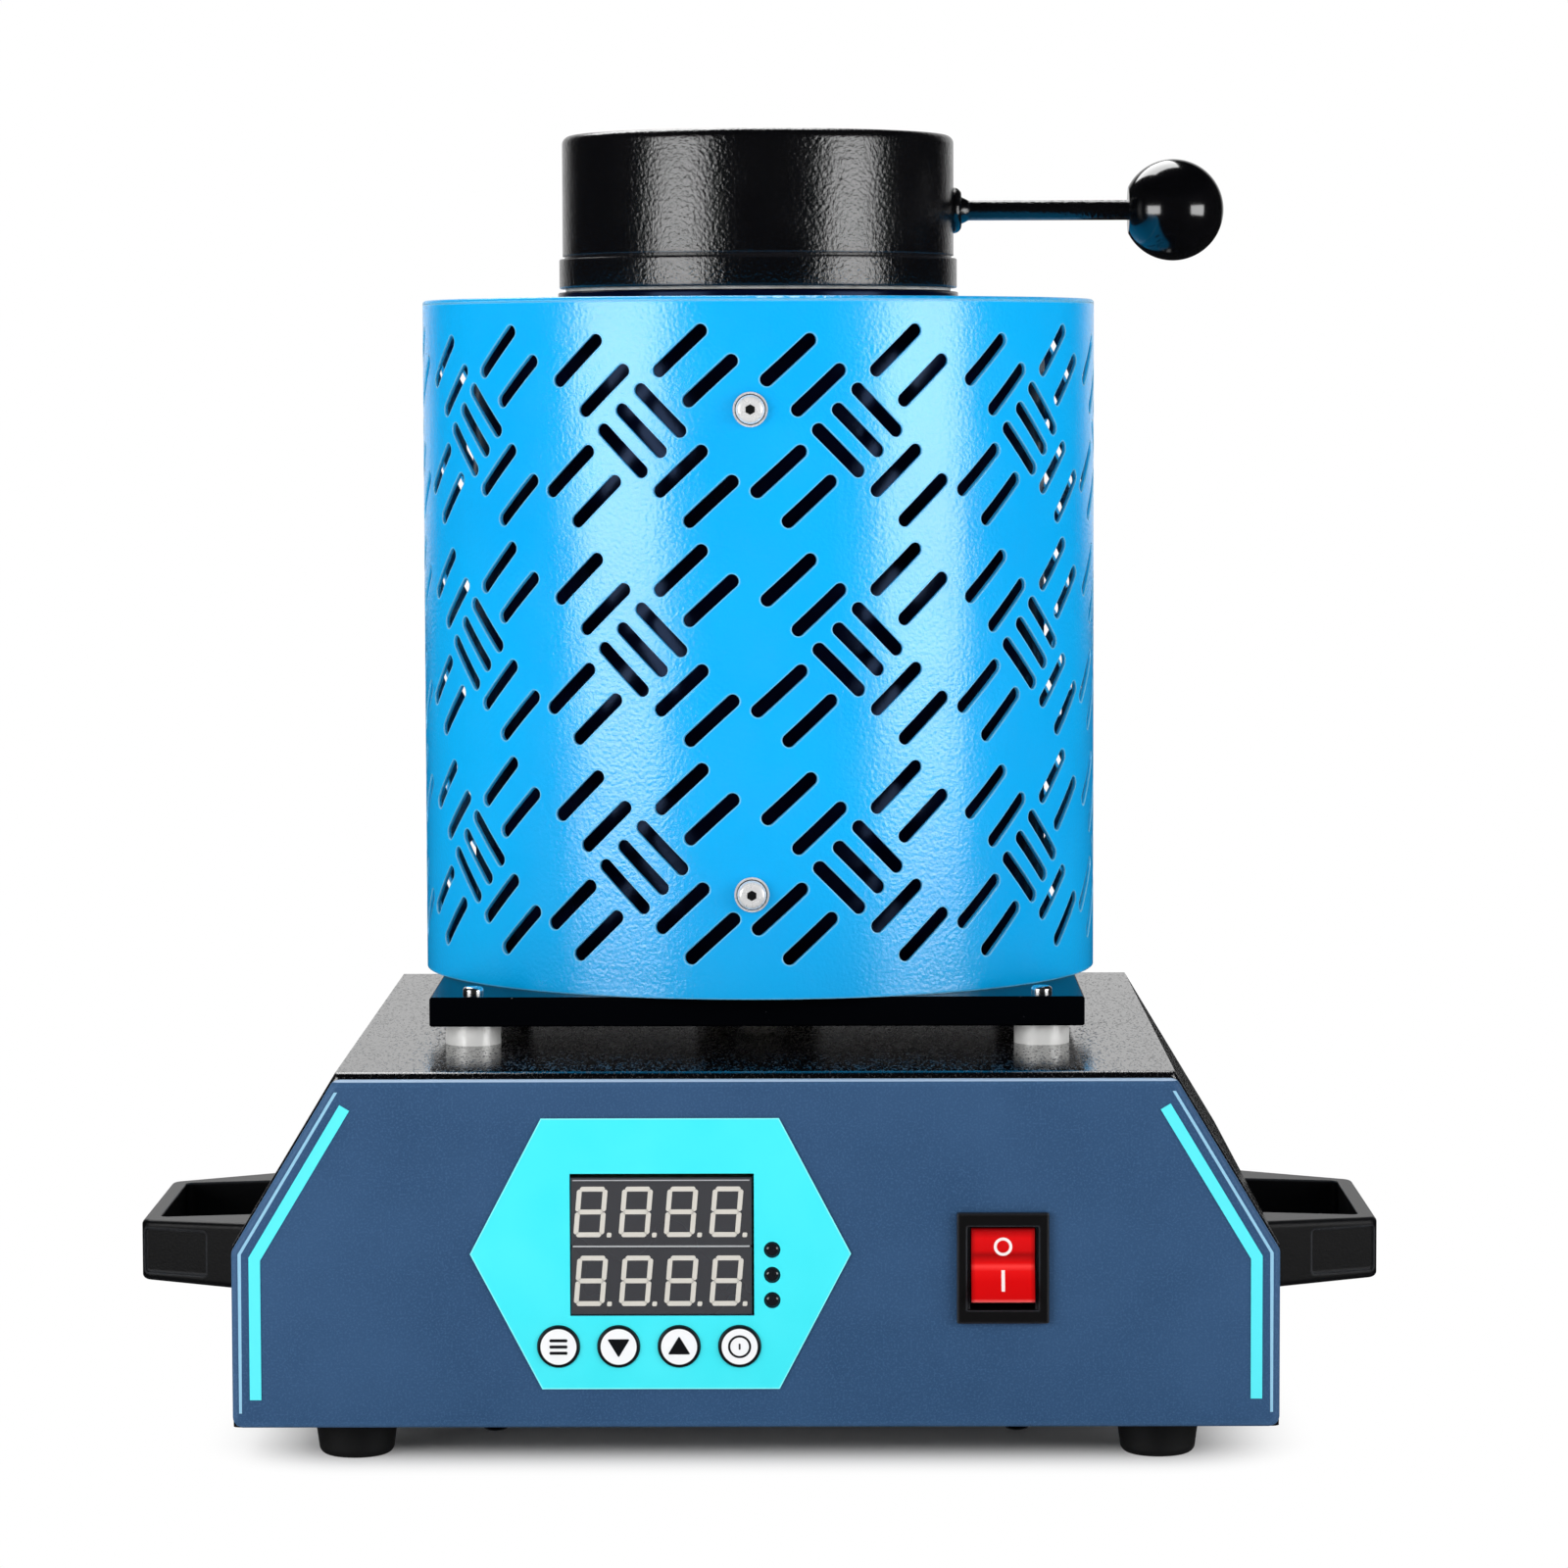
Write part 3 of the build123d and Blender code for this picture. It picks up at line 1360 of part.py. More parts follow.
with BuildPart() as hinge_fasteners:
    with BuildSketch(level(guard_top_z + shoulder_height)):
        with Locations((0, hinge_offset)):
            Circle(sleeve_radius)
            Circle(post_radius + screw_fit, mode=Mode.SUBTRACT)
    extrude(amount=hinge_washer_sheet)
    with BuildSketch(level(collar_bottom)):
        with Locations((0, hinge_offset)):
            RegularPolygon(hinge_nut_width / 2, 6, major_radius=False)
            Circle(post_thread_radius + running_fit, mode=Mode.SUBTRACT)
    extrude(amount=-hinge_nut_height)
    with BuildSketch(level(post_top)):
        with Locations((0, hinge_offset)):
            RegularPolygon(hinge_nut_width / 2, 6, major_radius=False)
    extrude(amount=hinge_nut_height)
    with Locations((0, hinge_y, post_top + hinge_nut_height)):
        Sphere(cap_dome_radius, arc_size1=0)
    with BuildSketch(level(post_top)):
        with Locations((0, hinge_offset)):
            Circle(post_thread_radius + running_fit)
    extrude(amount=hinge_nut_height + seat, mode=Mode.SUBTRACT)
keep(hinge_fasteners, "hinge_fasteners")

with BuildPart() as lid_hinge_arm:
    with BuildSketch(level(sleeve_bottom)):
        with Locations((0, hinge_offset)):
            Circle(sleeve_radius)
    extrude(amount=sleeve_height)
    with BuildSketch(level(sleeve_top - web_height - web_edge)):
        with Locations((0, (hinge_offset + lid_radius) / 2)):
            Rectangle(web_width, hinge_offset - lid_radius + 2 * lid_wall_depth)
    extrude(amount=web_height)
    with BuildSketch(level(lid_bottom)):
        Circle(lid_radius + running_fit)
    extrude(amount=lid_height, mode=Mode.SUBTRACT)
    with BuildSketch(level(sleeve_bottom)):
        with Locations((0, hinge_offset)):
            Circle(post_radius + running_fit)
    extrude(amount=sleeve_height, mode=Mode.SUBTRACT)
keep(lid_hinge_arm, "lid_hinge_arm")
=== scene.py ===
# %% [markdown]
# # Dressing an electric melting furnace
#
# The furnace is a sheet-metal controller base that carries a slotted blue guard. Inside the
# guard stands an insulated chamber, closed by a black lid that swings on a post. The solid
# model already holds every part at its real size, so this lesson does what is left: the
# camera and the lights, a finish for every surface, and the thin printed and moulded details
# that a solid model leaves out.
#
# Everything is in metres.

# %% Load the solid parts
import json
from math import cos, pi, radians, sin, sqrt, tan

import bpy
from mathutils import Matrix, Vector


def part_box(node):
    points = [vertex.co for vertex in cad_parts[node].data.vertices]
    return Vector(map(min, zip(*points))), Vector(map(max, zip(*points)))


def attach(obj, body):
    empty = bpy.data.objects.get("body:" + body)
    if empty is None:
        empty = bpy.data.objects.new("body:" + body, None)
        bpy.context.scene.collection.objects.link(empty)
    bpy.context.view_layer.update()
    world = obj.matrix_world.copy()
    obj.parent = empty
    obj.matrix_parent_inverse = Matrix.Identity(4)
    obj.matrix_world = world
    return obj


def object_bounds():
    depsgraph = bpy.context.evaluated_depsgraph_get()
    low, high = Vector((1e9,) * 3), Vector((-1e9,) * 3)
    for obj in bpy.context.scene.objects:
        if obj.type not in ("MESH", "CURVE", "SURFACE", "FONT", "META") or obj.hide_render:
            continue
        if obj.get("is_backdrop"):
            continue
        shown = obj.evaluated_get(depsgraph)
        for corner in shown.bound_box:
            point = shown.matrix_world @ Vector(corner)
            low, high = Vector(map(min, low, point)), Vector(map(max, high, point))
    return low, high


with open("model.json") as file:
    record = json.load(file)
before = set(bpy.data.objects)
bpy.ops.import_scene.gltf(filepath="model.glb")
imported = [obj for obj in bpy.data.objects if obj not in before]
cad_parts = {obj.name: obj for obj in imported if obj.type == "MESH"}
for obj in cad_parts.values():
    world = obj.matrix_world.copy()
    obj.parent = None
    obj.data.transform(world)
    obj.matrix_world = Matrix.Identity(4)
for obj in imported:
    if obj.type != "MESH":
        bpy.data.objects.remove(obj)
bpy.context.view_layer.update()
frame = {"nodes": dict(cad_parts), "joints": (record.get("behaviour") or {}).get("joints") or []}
parts = frame["nodes"]
MM = 0.001

# %% [markdown]
# ## The camera
#
# The furnace is looked at from far away through a long lens, which keeps the drum's sides
# parallel. The camera stands a little above the middle of the furnace and looks down by about
# four degrees, so that the top of the base just shows. Three turns, in radians, aim it: one
# round the upright axis, one down, and a small one round the line of sight. A camera could also
# be tracked to a target, but then the last of the three turns would be lost.

# %% Place the camera
CAMERA_PLACE = Vector((0.0186, -1.6082, 0.3037))
CAMERA_TURN = 0.0069
CAMERA_DOWN = 0.0754
CAMERA_ROLL = -0.003
SENSOR_WIDTH = 36.0
LENS = 123.75

camera = bpy.data.objects.new("camera", bpy.data.cameras.new("camera"))
bpy.context.scene.collection.objects.link(camera)
camera.data.sensor_width = SENSOR_WIDTH
camera.data.lens = LENS
camera.matrix_world = (
    Matrix.Translation(CAMERA_PLACE)
    @ Matrix.Rotation(CAMERA_TURN, 4, "Z")
    @ Matrix.Rotation(pi / 2 - CAMERA_DOWN, 4, "X")
    @ Matrix.Rotation(CAMERA_ROLL, 4, "Z")
)
bpy.context.scene.camera = camera
print("camera at", [round(value, 3) for value in CAMERA_PLACE], "with a lens of", LENS, "mm")

# %% [markdown]
# ## Colours and finishes
#
# A finish is more than a colour. Powder coat has an orange-peel grain, moulded plastic has a
# fine texture and machined metal keeps its tool marks. Pictures wrapped round the parts could
# show all that, but noise that is fixed to the part needs no unwrapping and stays in place when
# the lid swings. The first three helpers turn a colour as seen on a screen into the values
# that a shader uses, start a finish, and give it to parts by name.

# %% Helpers that start a finish
def screen(red, green, blue):
    """A colour as a screen shows it, each channel from 0 to 255, in shader values."""
    shares = [channel / 255 for channel in (red, green, blue)]
    # A screen's curve is a short straight piece, then a power.
    values = [s / 12.92 if s <= 0.04045 else ((s + 0.055) / 1.055) ** 2.4 for s in shares]
    return (*values, 1)


def finish(name, colour, roughness, sockets=()):
    """Start a finish from its colour and roughness, and set further sockets by name."""
    material = bpy.data.materials.new(name)
    material.use_nodes = True
    shader = material.node_tree.nodes["Principled BSDF"]
    shader.inputs["Base Color"].default_value = colour
    shader.inputs["Roughness"].default_value = roughness
    for socket, value in dict(sockets).items():
        shader.inputs[socket].default_value = value
    material.diffuse_color = colour
    return material


def dress(material, *names):
    """Give a finish to solid parts by name."""
    for name in names:
        slots = parts[name].data.materials
        slots.clear()
        slots.append(material)
    print(material.name, "on", ", ".join(names))


print("a screen's middle grey is", round(screen(128, 128, 128)[0], 3), "to a shader")

# %% [markdown]
# ### Joining nodes
#
# A procedural finish is a small machine of nodes: a pattern goes in, is measured and mixed,
# and comes out at a socket of the shader. Wired by hand in the Shader Editor that is quick, but
# in a script each node takes several lines. So one helper adds a node, sets it up, feeds its
# sockets in their order and returns what it gives, and another feeds a single socket.

# %% Helpers that join nodes
def feed(tree, socket, value):
    """Set a socket to a number or a vector, or link another node's output to it."""
    if isinstance(value, bpy.types.NodeSocket):
        tree.links.new(value, socket)
    else:
        socket.default_value = value


def result(tree, kind, values=(), output=0, **settings):
    """Add a node, feed its first sockets with values, and return one of its outputs."""
    node = tree.nodes.new(kind)
    for name, setting in settings.items():
        setattr(node, name, setting)
    for socket, value in zip(node.inputs, values):
        feed(tree, socket, value)
    return node.outputs[output]


def place_on(tree):
    """Where a point lies, fixed to the part."""
    return result(tree, "ShaderNodeTexCoord", output="Object")


def shader_input(material, name):
    """A socket of the finish's own shader."""
    return material.node_tree.nodes["Principled BSDF"].inputs[name]


print("nodes are joined by feed and result")

# %% [markdown]
# ### Grain
#
# Noise is the pattern behind nearly every finish here. It is counted in grains to the metre,
# and it can be stretched so that the grains are drawn out one way. A Bump node turns it into a
# grain on the surface: it changes how the light falls and leaves the shape alone, so it costs
# no faces.

# %% Helpers for noise and grain
def noise(material, grains, detail=2.0, stretch=(1, 1, 1)):
    """Noise fixed to the part, with this many grains to the metre."""
    tree = material.node_tree
    size = tree.nodes.new("ShaderNodeMapping")
    feed(tree, size.inputs["Vector"], place_on(tree))
    feed(tree, size.inputs["Scale"], [grains * share for share in stretch])
    texture = tree.nodes.new("ShaderNodeTexNoise")
    feed(tree, texture.inputs["Vector"], size.outputs["Vector"])
    feed(tree, texture.inputs["Scale"], 1.0)
    feed(tree, texture.inputs["Detail"], detail)
    return texture.outputs["Fac"]


def raise_grain(material, grains, height, detail=2.0, stretch=(1, 1, 1)):
    """Raise the surface by up to this height, with this many grains to the metre."""
    tree, normal = material.node_tree, shader_input(material, "Normal")
    bump = tree.nodes.new("ShaderNodeBump")
    feed(tree, bump.inputs["Distance"], height)
    feed(tree, bump.inputs["Height"], noise(material, grains, detail, stretch))
    if normal.links:
        feed(tree, bump.inputs["Normal"], normal.links[0].from_socket)
    feed(tree, normal, bump.outputs["Normal"])


print("grain is raised by noise and a bump")

# %% [markdown]
# ### Change over the surface
#
# The same noise, or any other pattern, can lead a colour or a roughness from one value to
# another. A Map Range node cuts out the stretch of the pattern over which that happens: a wide
# one gives soft clouds, and a narrow one gives specks or a hard line.

# %% Helper that leads a colour or a number
def vary(material, name, pattern, low, high, start=0.35, end=0.65):
    """Lead a socket from low to high while the pattern goes from start to end.

    A colour that is already linked to the socket takes the place of low.
    """
    tree, target = material.node_tree, shader_input(material, name)
    if isinstance(low, float):
        spread = (pattern, start, end, low, high)
        feed(tree, target, result(tree, "ShaderNodeMapRange", spread))
        return
    mix = tree.nodes.new("ShaderNodeMix")
    mix.data_type = "RGBA"
    share = result(tree, "ShaderNodeMapRange", (pattern, start, end))
    feed(tree, mix.inputs["Factor"], share)
    feed(tree, mix.inputs[6], target.links[0].from_socket if target.links else low)
    feed(tree, mix.inputs[7], high)
    feed(tree, target, mix.outputs[2])


print("a pattern leads a socket by vary")

# %% [markdown]
# ### Edges with a painted highlight
#
# Sharp edges give a model away, because real sheet is never quite sharp. Rounding every slot in
# the mesh would take a great many faces, so the Bevel node rounds the edges in the shading only.
# Where the rounded surface leans away from the flat one, a paler colour is painted in: a painted
# highlight along the edge, which shows under any light.

# %% Helper for edges with a painted highlight
VECTOR_MATHS = "ShaderNodeVectorMath"
EDGE_SAMPLES = 4
EDGE_BEGINS = 0.995
EDGE_HIGHLIGHT_FULL = 0.9


def soften_edges(material, radius, colour, edge_highlight):
    """Light sharp edges as if rounded by this radius, and paint a highlight colour along them.

    It comes before the grain, which is raised on top of the rounded edges.
    """
    tree = material.node_tree
    rounded = result(tree, "ShaderNodeBevel", (radius,), samples=EDGE_SAMPLES)
    feed(tree, shader_input(material, "Normal"), rounded)
    flat = result(tree, "ShaderNodeNewGeometry", output="Normal")
    likeness = result(tree, VECTOR_MATHS, (rounded, flat), "Value", operation="DOT_PRODUCT")
    # Painted highlight: the colour turns paler where the edge is rounded.
    vary(material, "Base Color", likeness, colour, edge_highlight, EDGE_BEGINS, EDGE_HIGHLIGHT_FULL)


print("worn colour starts where the likeness falls below", EDGE_BEGINS)

# %% [markdown]
# ### Azure powder coat of the guard
#
# The guard is rolled steel sheet with a satin powder coat. Two things make it read as powder
# coat: a strong, soft highlight, and a grain of about a millimetre that breaks up the
# highlight's edge. The grain must stay very low, or the drum looks cast. Paint also creeps
# round the punched slots, so their edges are lit as if they were slightly rounded, and a pale
# cyan highlight is painted along them.

# %% Guard finish
AZURE = screen(0, 179, 252)
AZURE_DEEP, AZURE_PALE = screen(0, 176, 250), screen(0, 182, 254)
guard_paint = finish("azure_powder_coat", AZURE, 0.17, {"IOR": 1.6, "Specular IOR Level": 0.8})
vary(guard_paint, "Base Color", noise(guard_paint, 18), AZURE_DEEP, AZURE_PALE)
# Painted highlight: pale cyan along the slot edges.
soften_edges(guard_paint, 0.8 * MM, AZURE, screen(150, 226, 255))
raise_grain(guard_paint, 900, 0.11 * MM, 3.0)
vary(guard_paint, "Roughness", noise(guard_paint, 60), 0.15, 0.19)
dress(guard_paint, "guard_shell", "guard_top")

# %% [markdown]
# ### Black powder coats
#
# The lid has a fine orange-peel grain, the base cover a coarse sandy one that sparkles where
# the light grazes it; paler specks painted into its colour are painted glints of that sparkle.
# Both are the same recipe with a different grain, with a painted highlight along the edges. The
# cover is nearly always seen at a flat angle, so its grains are drawn out from front to back and
# look round. The case and collar behind the guard's slots are plainer: their colour drifts
# towards a very dark blue, a painted reflection of the blue guard round them, and their glints
# are tinted blue the same way.

# %% Lid, cover and inner case finishes
COAT_BLACK = screen(7, 7, 9)
SAND_GRAINS = 1500
SAND_STRETCH = (1, 0.3, 1)


def black_coat(name, grains, height, roughness, sockets, stretch=(1, 1, 1)):
    """Black powder coat with a grain of the given fineness and height."""
    material = finish(name, COAT_BLACK, roughness, sockets)
    # Painted highlight: a paler grey along sharp edges.
    soften_edges(material, 0.9 * MM, COAT_BLACK, screen(46, 46, 50))
    raise_grain(material, grains, height, 3.0, stretch)
    smudges = noise(material, grains / 12)
    vary(material, "Roughness", smudges, roughness - 0.02, roughness + 0.03)
    return material


LID_SHINE = {"IOR": 1.6, "Specular IOR Level": 0.75}
lid_coat = black_coat("lid_powder_coat", 850, 0.17 * MM, 0.17, LID_SHINE)
dress(lid_coat, "lid_shell", "lid_band", "lid_rod", "lid_hinge_arm")

SAND_SHINE = {"IOR": 2.2}
cover_coat = black_coat(
    "sandy_powder_coat", SAND_GRAINS, 0.04 * MM, 0.2, SAND_SHINE, SAND_STRETCH
)
sand = noise(cover_coat, SAND_GRAINS, 3.0, SAND_STRETCH)
vary(cover_coat, "Roughness", sand, 0.04, 0.34, 0.5, 0.62)
# Painted glints: paler specks stand for the sparkle of grazing light.
vary(cover_coat, "Base Color", sand, COAT_BLACK, screen(60, 60, 64), 0.64, 0.72)
dress(cover_coat, "base_cover", "rear_panel")

# Painted reflection: the glints are tinted blue like the guard round the case.
CASE_BLUE_SHEEN = {"Specular Tint": screen(112, 140, 190)}
case_coat = black_coat("dark_case_coat", 260, 0.05 * MM, 0.2, CASE_BLUE_SHEEN)
# Painted reflection: patches of very dark blue, the blue guard mirrored in the case.
vary(case_coat, "Base Color", noise(case_coat, 18), COAT_BLACK, screen(5, 10, 34), 0.3, 0.5)
dress(case_coat, "inner_case", "collar_ring")

# %% [markdown]
# ### Navy front panel
#
# The panel is the same powder coat again, in slate navy and with a finer, tighter grain, which
# also shows as a faint mottling of the colour. Very faint cloudy patches keep such a large flat
# face from looking like a cut-out. Along the top a painted highlight stands for the light that
# the sheet's rounded edge catches. The edge softening can't show that, because the painted line
# lies on the flat face below the edge, so the colour changes there with the height above the
# panel's foot. The new helper measures it: a distance from a point that counts only some
# directions, here the upright one.

# %% Panel finish
NAVY = screen(44, 79, 117)
NAVY_DEEP, NAVY_PALE = screen(40, 75, 113), screen(47, 82, 121)
TOP_HIGHLIGHT = 0.75 * MM
TOP_HIGHLIGHT_FADE = 0.15 * MM


def from_centre(material, centre, across=(1, 0, 1)):
    """How far a point lies from a centre, counting only the directions given by across."""
    tree = material.node_tree
    offset = result(tree, VECTOR_MATHS, (place_on(tree), centre), operation="SUBTRACT")
    counted = result(tree, VECTOR_MATHS, (offset, across), operation="MULTIPLY")
    return result(tree, VECTOR_MATHS, (counted,), "Value", operation="LENGTH")


panel_coat = finish("navy_powder_coat", NAVY, 0.46, {"Specular IOR Level": 0.3})
clouds = noise(panel_coat, 35, 3.0)
vary(panel_coat, "Base Color", clouds, NAVY_DEEP, NAVY_PALE, 0.3, 0.7)
mottling = noise(panel_coat, 1700, 2.0)
vary(panel_coat, "Base Color", mottling, NAVY, screen(54, 89, 128), 0.5, 0.64)
# Painted highlight: a paler navy along sharp edges.
soften_edges(panel_coat, 1.5 * MM, NAVY, screen(104, 146, 188))
panel_low, panel_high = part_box("front_panel")
# Painted highlight: a pale line along the top edge, by height above the panel's foot.
rise = from_centre(panel_coat, panel_low, (0, 0, 1))
top_highlight_from = panel_high[2] - panel_low[2] - TOP_HIGHLIGHT
top_highlight_to = top_highlight_from + TOP_HIGHLIGHT_FADE
vary(panel_coat, "Base Color", rise, NAVY, screen(166, 190, 216), top_highlight_from, top_highlight_to)
raise_grain(panel_coat, 1200, 0.06 * MM, 3.0)
dress(panel_coat, "front_panel")

# %% [markdown]
# ### Printed film
#
# The hexagon and the folded stripes are cyan film. Film is smooth and slightly glossy, with a
# barely visible waviness where it follows the sheet under it. The hexagon is also a little
# cloudy. The stripes are a narrow tape of a paler cyan, in which no clouds would show.

# %% Film finishes
FILM_SHINE = {"Specular IOR Level": 0.3}
film = finish("cyan_film", screen(64, 233, 244), 0.4, FILM_SHINE)
raise_grain(film, 120, 0.02 * MM, 1.0)
FILM_DEEP, FILM_PALE = screen(58, 231, 242), screen(70, 236, 247)
vary(film, "Base Color", noise(film, 40, 2.0), FILM_DEEP, FILM_PALE, 0.3, 0.7)
dress(film, "panel_overlay")
tape = finish("cyan_tape", screen(88, 234, 244), 0.4, FILM_SHINE)
raise_grain(tape, 120, 0.02 * MM, 1.0)
dress(tape, "trim_stripes")

# %% [markdown]
# ### Steel, aluminium and brass
#
# Turned pieces keep fine rings from the lathe. Noise that is squeezed along one direction
# makes them: many grains along the axis and few across it. Screws are polished, so they only
# need a little smudging of the roughness. A fully metallic surface shows only what it mirrors,
# and low on the furnace that is mostly the dark floor. So the standoffs and the guard's screws,
# which look bright on the real thing, are only partly metallic.

# %% Bright metal finishes
def metal(name, colour, roughness, grains=(0, 0, 0), height=0.0, metallic=1.0):
    """Bare metal; the grains to the metre along X, Y and Z draw its tool marks."""
    material = finish(name, colour, roughness, {"Metallic": metallic})
    vary(material, "Roughness", noise(material, 500, 2.0), roughness * 0.8, roughness * 1.3)
    if height:
        raise_grain(material, 1, height, 2.0, grains)
    return material


polished_steel = metal("polished_steel", screen(236, 237, 238), 0.22)
dress(
    polished_steel,
    "rear_screws",
    "handle_screws",
    "foot_screws",
    "plate_screws",
    "plate_nuts",
    "case_bolts",
    "hinge_post",
    "hinge_fasteners",
)
blackened_steel = metal("blackened_steel", screen(34, 34, 36), 0.3)
dress(blackened_steel, "case_screws")

satin_steel = metal("satin_steel", screen(250, 250, 250), 0.28, metallic=0.35)
dress(satin_steel, "guard_screws", "guard_washers")

LATHE_RINGS = (60, 60, 2600)
turned_aluminium = metal(
    "turned_aluminium", screen(252, 252, 250), 0.4, LATHE_RINGS, 0.02 * MM, 0.18
)
dress(turned_aluminium, "standoffs", "guard_standoffs", "board_spacers")

# %% [markdown]
# The metals inside are plainer. The heatsink is drawn through a die and the tray is rolled, so
# both are streaked one way, the pins are brass, and the heater's wire is dull and blotchy from
# the heat.

# %% Inner metal finishes
drawn_aluminium = metal(
    "drawn_aluminium", screen(196, 198, 201), 0.35, (1800, 20, 300), 0.02 * MM
)
dress(drawn_aluminium, "relay_heatsink")

rolled_steel = metal("rolled_steel", screen(176, 179, 182), 0.38, (1500, 14, 14), 0.015 * MM)
streaks = noise(rolled_steel, 55, 4.0)
vary(rolled_steel, "Base Color", streaks, screen(168, 171, 174), screen(190, 192, 194))
dress(rolled_steel, "base_tray", "thermocouple")

pin_brass = metal("pin_brass", screen(206, 172, 98), 0.25, (300, 2000, 300), 0.01 * MM)
dress(pin_brass, "inlet_pins", "switch_terminals")

heater_wire = metal(
    "oxidised_heater_wire", screen(92, 84, 78), 0.55, (900, 900, 900), 0.03 * MM
)
scale = noise(heater_wire, 260, 3.0)
vary(heater_wire, "Base Color", scale, screen(70, 64, 60), screen(124, 112, 98))
dress(heater_wire, "heating_coil", "heater_leads")

# %% [markdown]
# ### The black support plate
#
# The plate is lacquered black and polished enough to mirror the blue guard above it. Here and
# there the lacquer has lost a tiny chip. The chips are the few brightest spots of a fine noise,
# cut off so high that only specks are left.

# %% Plate finish
LACQUER_BLACK = screen(4, 5, 8)
plate_lacquer = finish("black_lacquer", LACQUER_BLACK, 0.14, {"IOR": 1.06})
raise_grain(plate_lacquer, 90, 0.01 * MM)
chips = noise(plate_lacquer, 1300, 2.0)
vary(plate_lacquer, "Base Color", chips, LACQUER_BLACK, screen(120, 120, 122), 0.76, 0.79)
dress(plate_lacquer, "support_plate")

# %% [markdown]
# ### Plastics and rubber
#
# Moulded grips and bezels have a fine spark-eroded texture, the rubber feet a coarser and
# duller one, and the ball knob is polished. The grips and the bezel also get a painted highlight
# along their edges, as paler lines which a plain black would lose.

# %% Plastic and rubber finishes
def moulded(name, colour, roughness, grains, height, sockets=()):
    """Moulded plastic or rubber with an even texture."""
    material = finish(name, colour, roughness, sockets)
    raise_grain(material, grains, height)
    smudges = noise(material, grains / 20)
    vary(material, "Roughness", smudges, roughness - 0.05, roughness + 0.06)
    return material


GRIP_BLACK = screen(4, 4, 6)
grip_black = finish("moulded_black", GRIP_BLACK, 0.36, {"Specular IOR Level": 0.25})
# Painted highlight: paler grey along sharp edges.
soften_edges(grip_black, 1.2 * MM, GRIP_BLACK, screen(62, 64, 68))
raise_grain(grip_black, 1500, 0.03 * MM)
dress(grip_black, "handle_left", "handle_right")

BEZEL_BLACK = screen(15, 14, 15)
bezel_black = finish("bezel_black", BEZEL_BLACK, 0.33)
# Painted highlight: paler grey along sharp edges.
soften_edges(bezel_black, 0.8 * MM, BEZEL_BLACK, screen(62, 64, 70))
raise_grain(bezel_black, 2400, 0.012 * MM)
dress(bezel_black, "rocker_bezel", "tact_switches", "inlet_housing")

dress(moulded("foot_rubber", screen(10, 10, 11), 0.6, 900, 0.05 * MM), "rubber_feet")
BALL_SHINE = {"IOR": 1.6, "Specular IOR Level": 0.85}
dress(moulded("polished_ball", screen(5, 5, 7), 0.1, 60, 0.005 * MM, BALL_SHINE), "ball_knob")

# %% [markdown]
# The controller's own plastics are quieter: a cream relay, smoked lenses over the small lamps,
# and grey epoxy round the digits. The circuit board is green laminate whose copper tracks show
# through as paler lines, which are a noise with a narrow step.

# %% Controller finishes
relay_plastic = moulded("relay_plastic", screen(214, 214, 206), 0.5, 1400, 0.02 * MM)
dress(relay_plastic, "solid_state_relay")
LENS_COAT = {"Coat Weight": 0.6}
smoked_lens = moulded("smoked_lens", screen(24, 26, 30), 0.14, 300, 0.01 * MM, LENS_COAT)
dress(smoked_lens, "indicator_leds")
display_epoxy = moulded("display_epoxy", screen(64, 64, 68), 0.3, 900, 0.01 * MM)
dress(display_epoxy, "display_upper", "display_lower")

circuit_green = moulded("circuit_green", screen(24, 104, 58), 0.35, 500, 0.02 * MM)
tracks = noise(circuit_green, 260, 1.0, (1, 1, 4))
LAMINATE, TRACK = screen(20, 92, 50), screen(58, 132, 72)
vary(circuit_green, "Base Color", tracks, LAMINATE, TRACK, 0.5, 0.53)
dress(circuit_green, "controller_board")

# %% [markdown]
# ### The red rocker
#
# The rocker is glossy and slightly see-through, so its colour runs from near black in the
# corners to pink where the light comes out again. Real depth would need a clear plastic with
# light travelling inside. Instead that light is painted: bands of colour by height carry painted
# highlights along the bottom edge and the crease and painted shade at the top and bottom, and
# painted shade darkens both sides. They cost far less, and they stay on the rocker when it tilts.

# %% Rocker finish
# Painted light: pink bands are painted highlights at the bottom edge and the crease, dark bands
# painted shade.
ROCKER_LIGHT_BANDS = (
    (0.0, (120, 0, 3)),
    (0.035, (255, 104, 102)),
    (0.08, (206, 2, 5)),
    (0.3, (214, 2, 5)),
    (0.43, (228, 14, 16)),
    (0.49, (255, 60, 58)),
    (0.53, (222, 6, 8)),
    (0.64, (158, 0, 3)),
    (0.7, (210, 4, 8)),
    (0.86, (220, 6, 10)),
    (0.94, (180, 0, 4)),
    (1.0, (80, 0, 2)),
)
SIDE_SHADE_BEGINS, SIDE_SHADE_FULL = 0.78, 0.97


def height_bands(material, foot, top, bands):
    """Colour a part by height, from bands of (share of the way up, screen colour)."""
    tree = material.node_tree
    height = result(tree, "ShaderNodeSeparateXYZ", (place_on(tree),), "Z")
    colours = tree.nodes.new("ShaderNodeValToRGB")
    while len(colours.color_ramp.elements) < len(bands):
        colours.color_ramp.elements.new(0.5)
    for element, (share, colour) in zip(colours.color_ramp.elements, bands):
        element.position = share
        element.color = screen(*colour)
    climb = result(tree, "ShaderNodeMapRange", (height, foot, top))
    feed(tree, colours.inputs["Fac"], climb)
    feed(tree, shader_input(material, "Base Color"), colours.outputs["Color"])


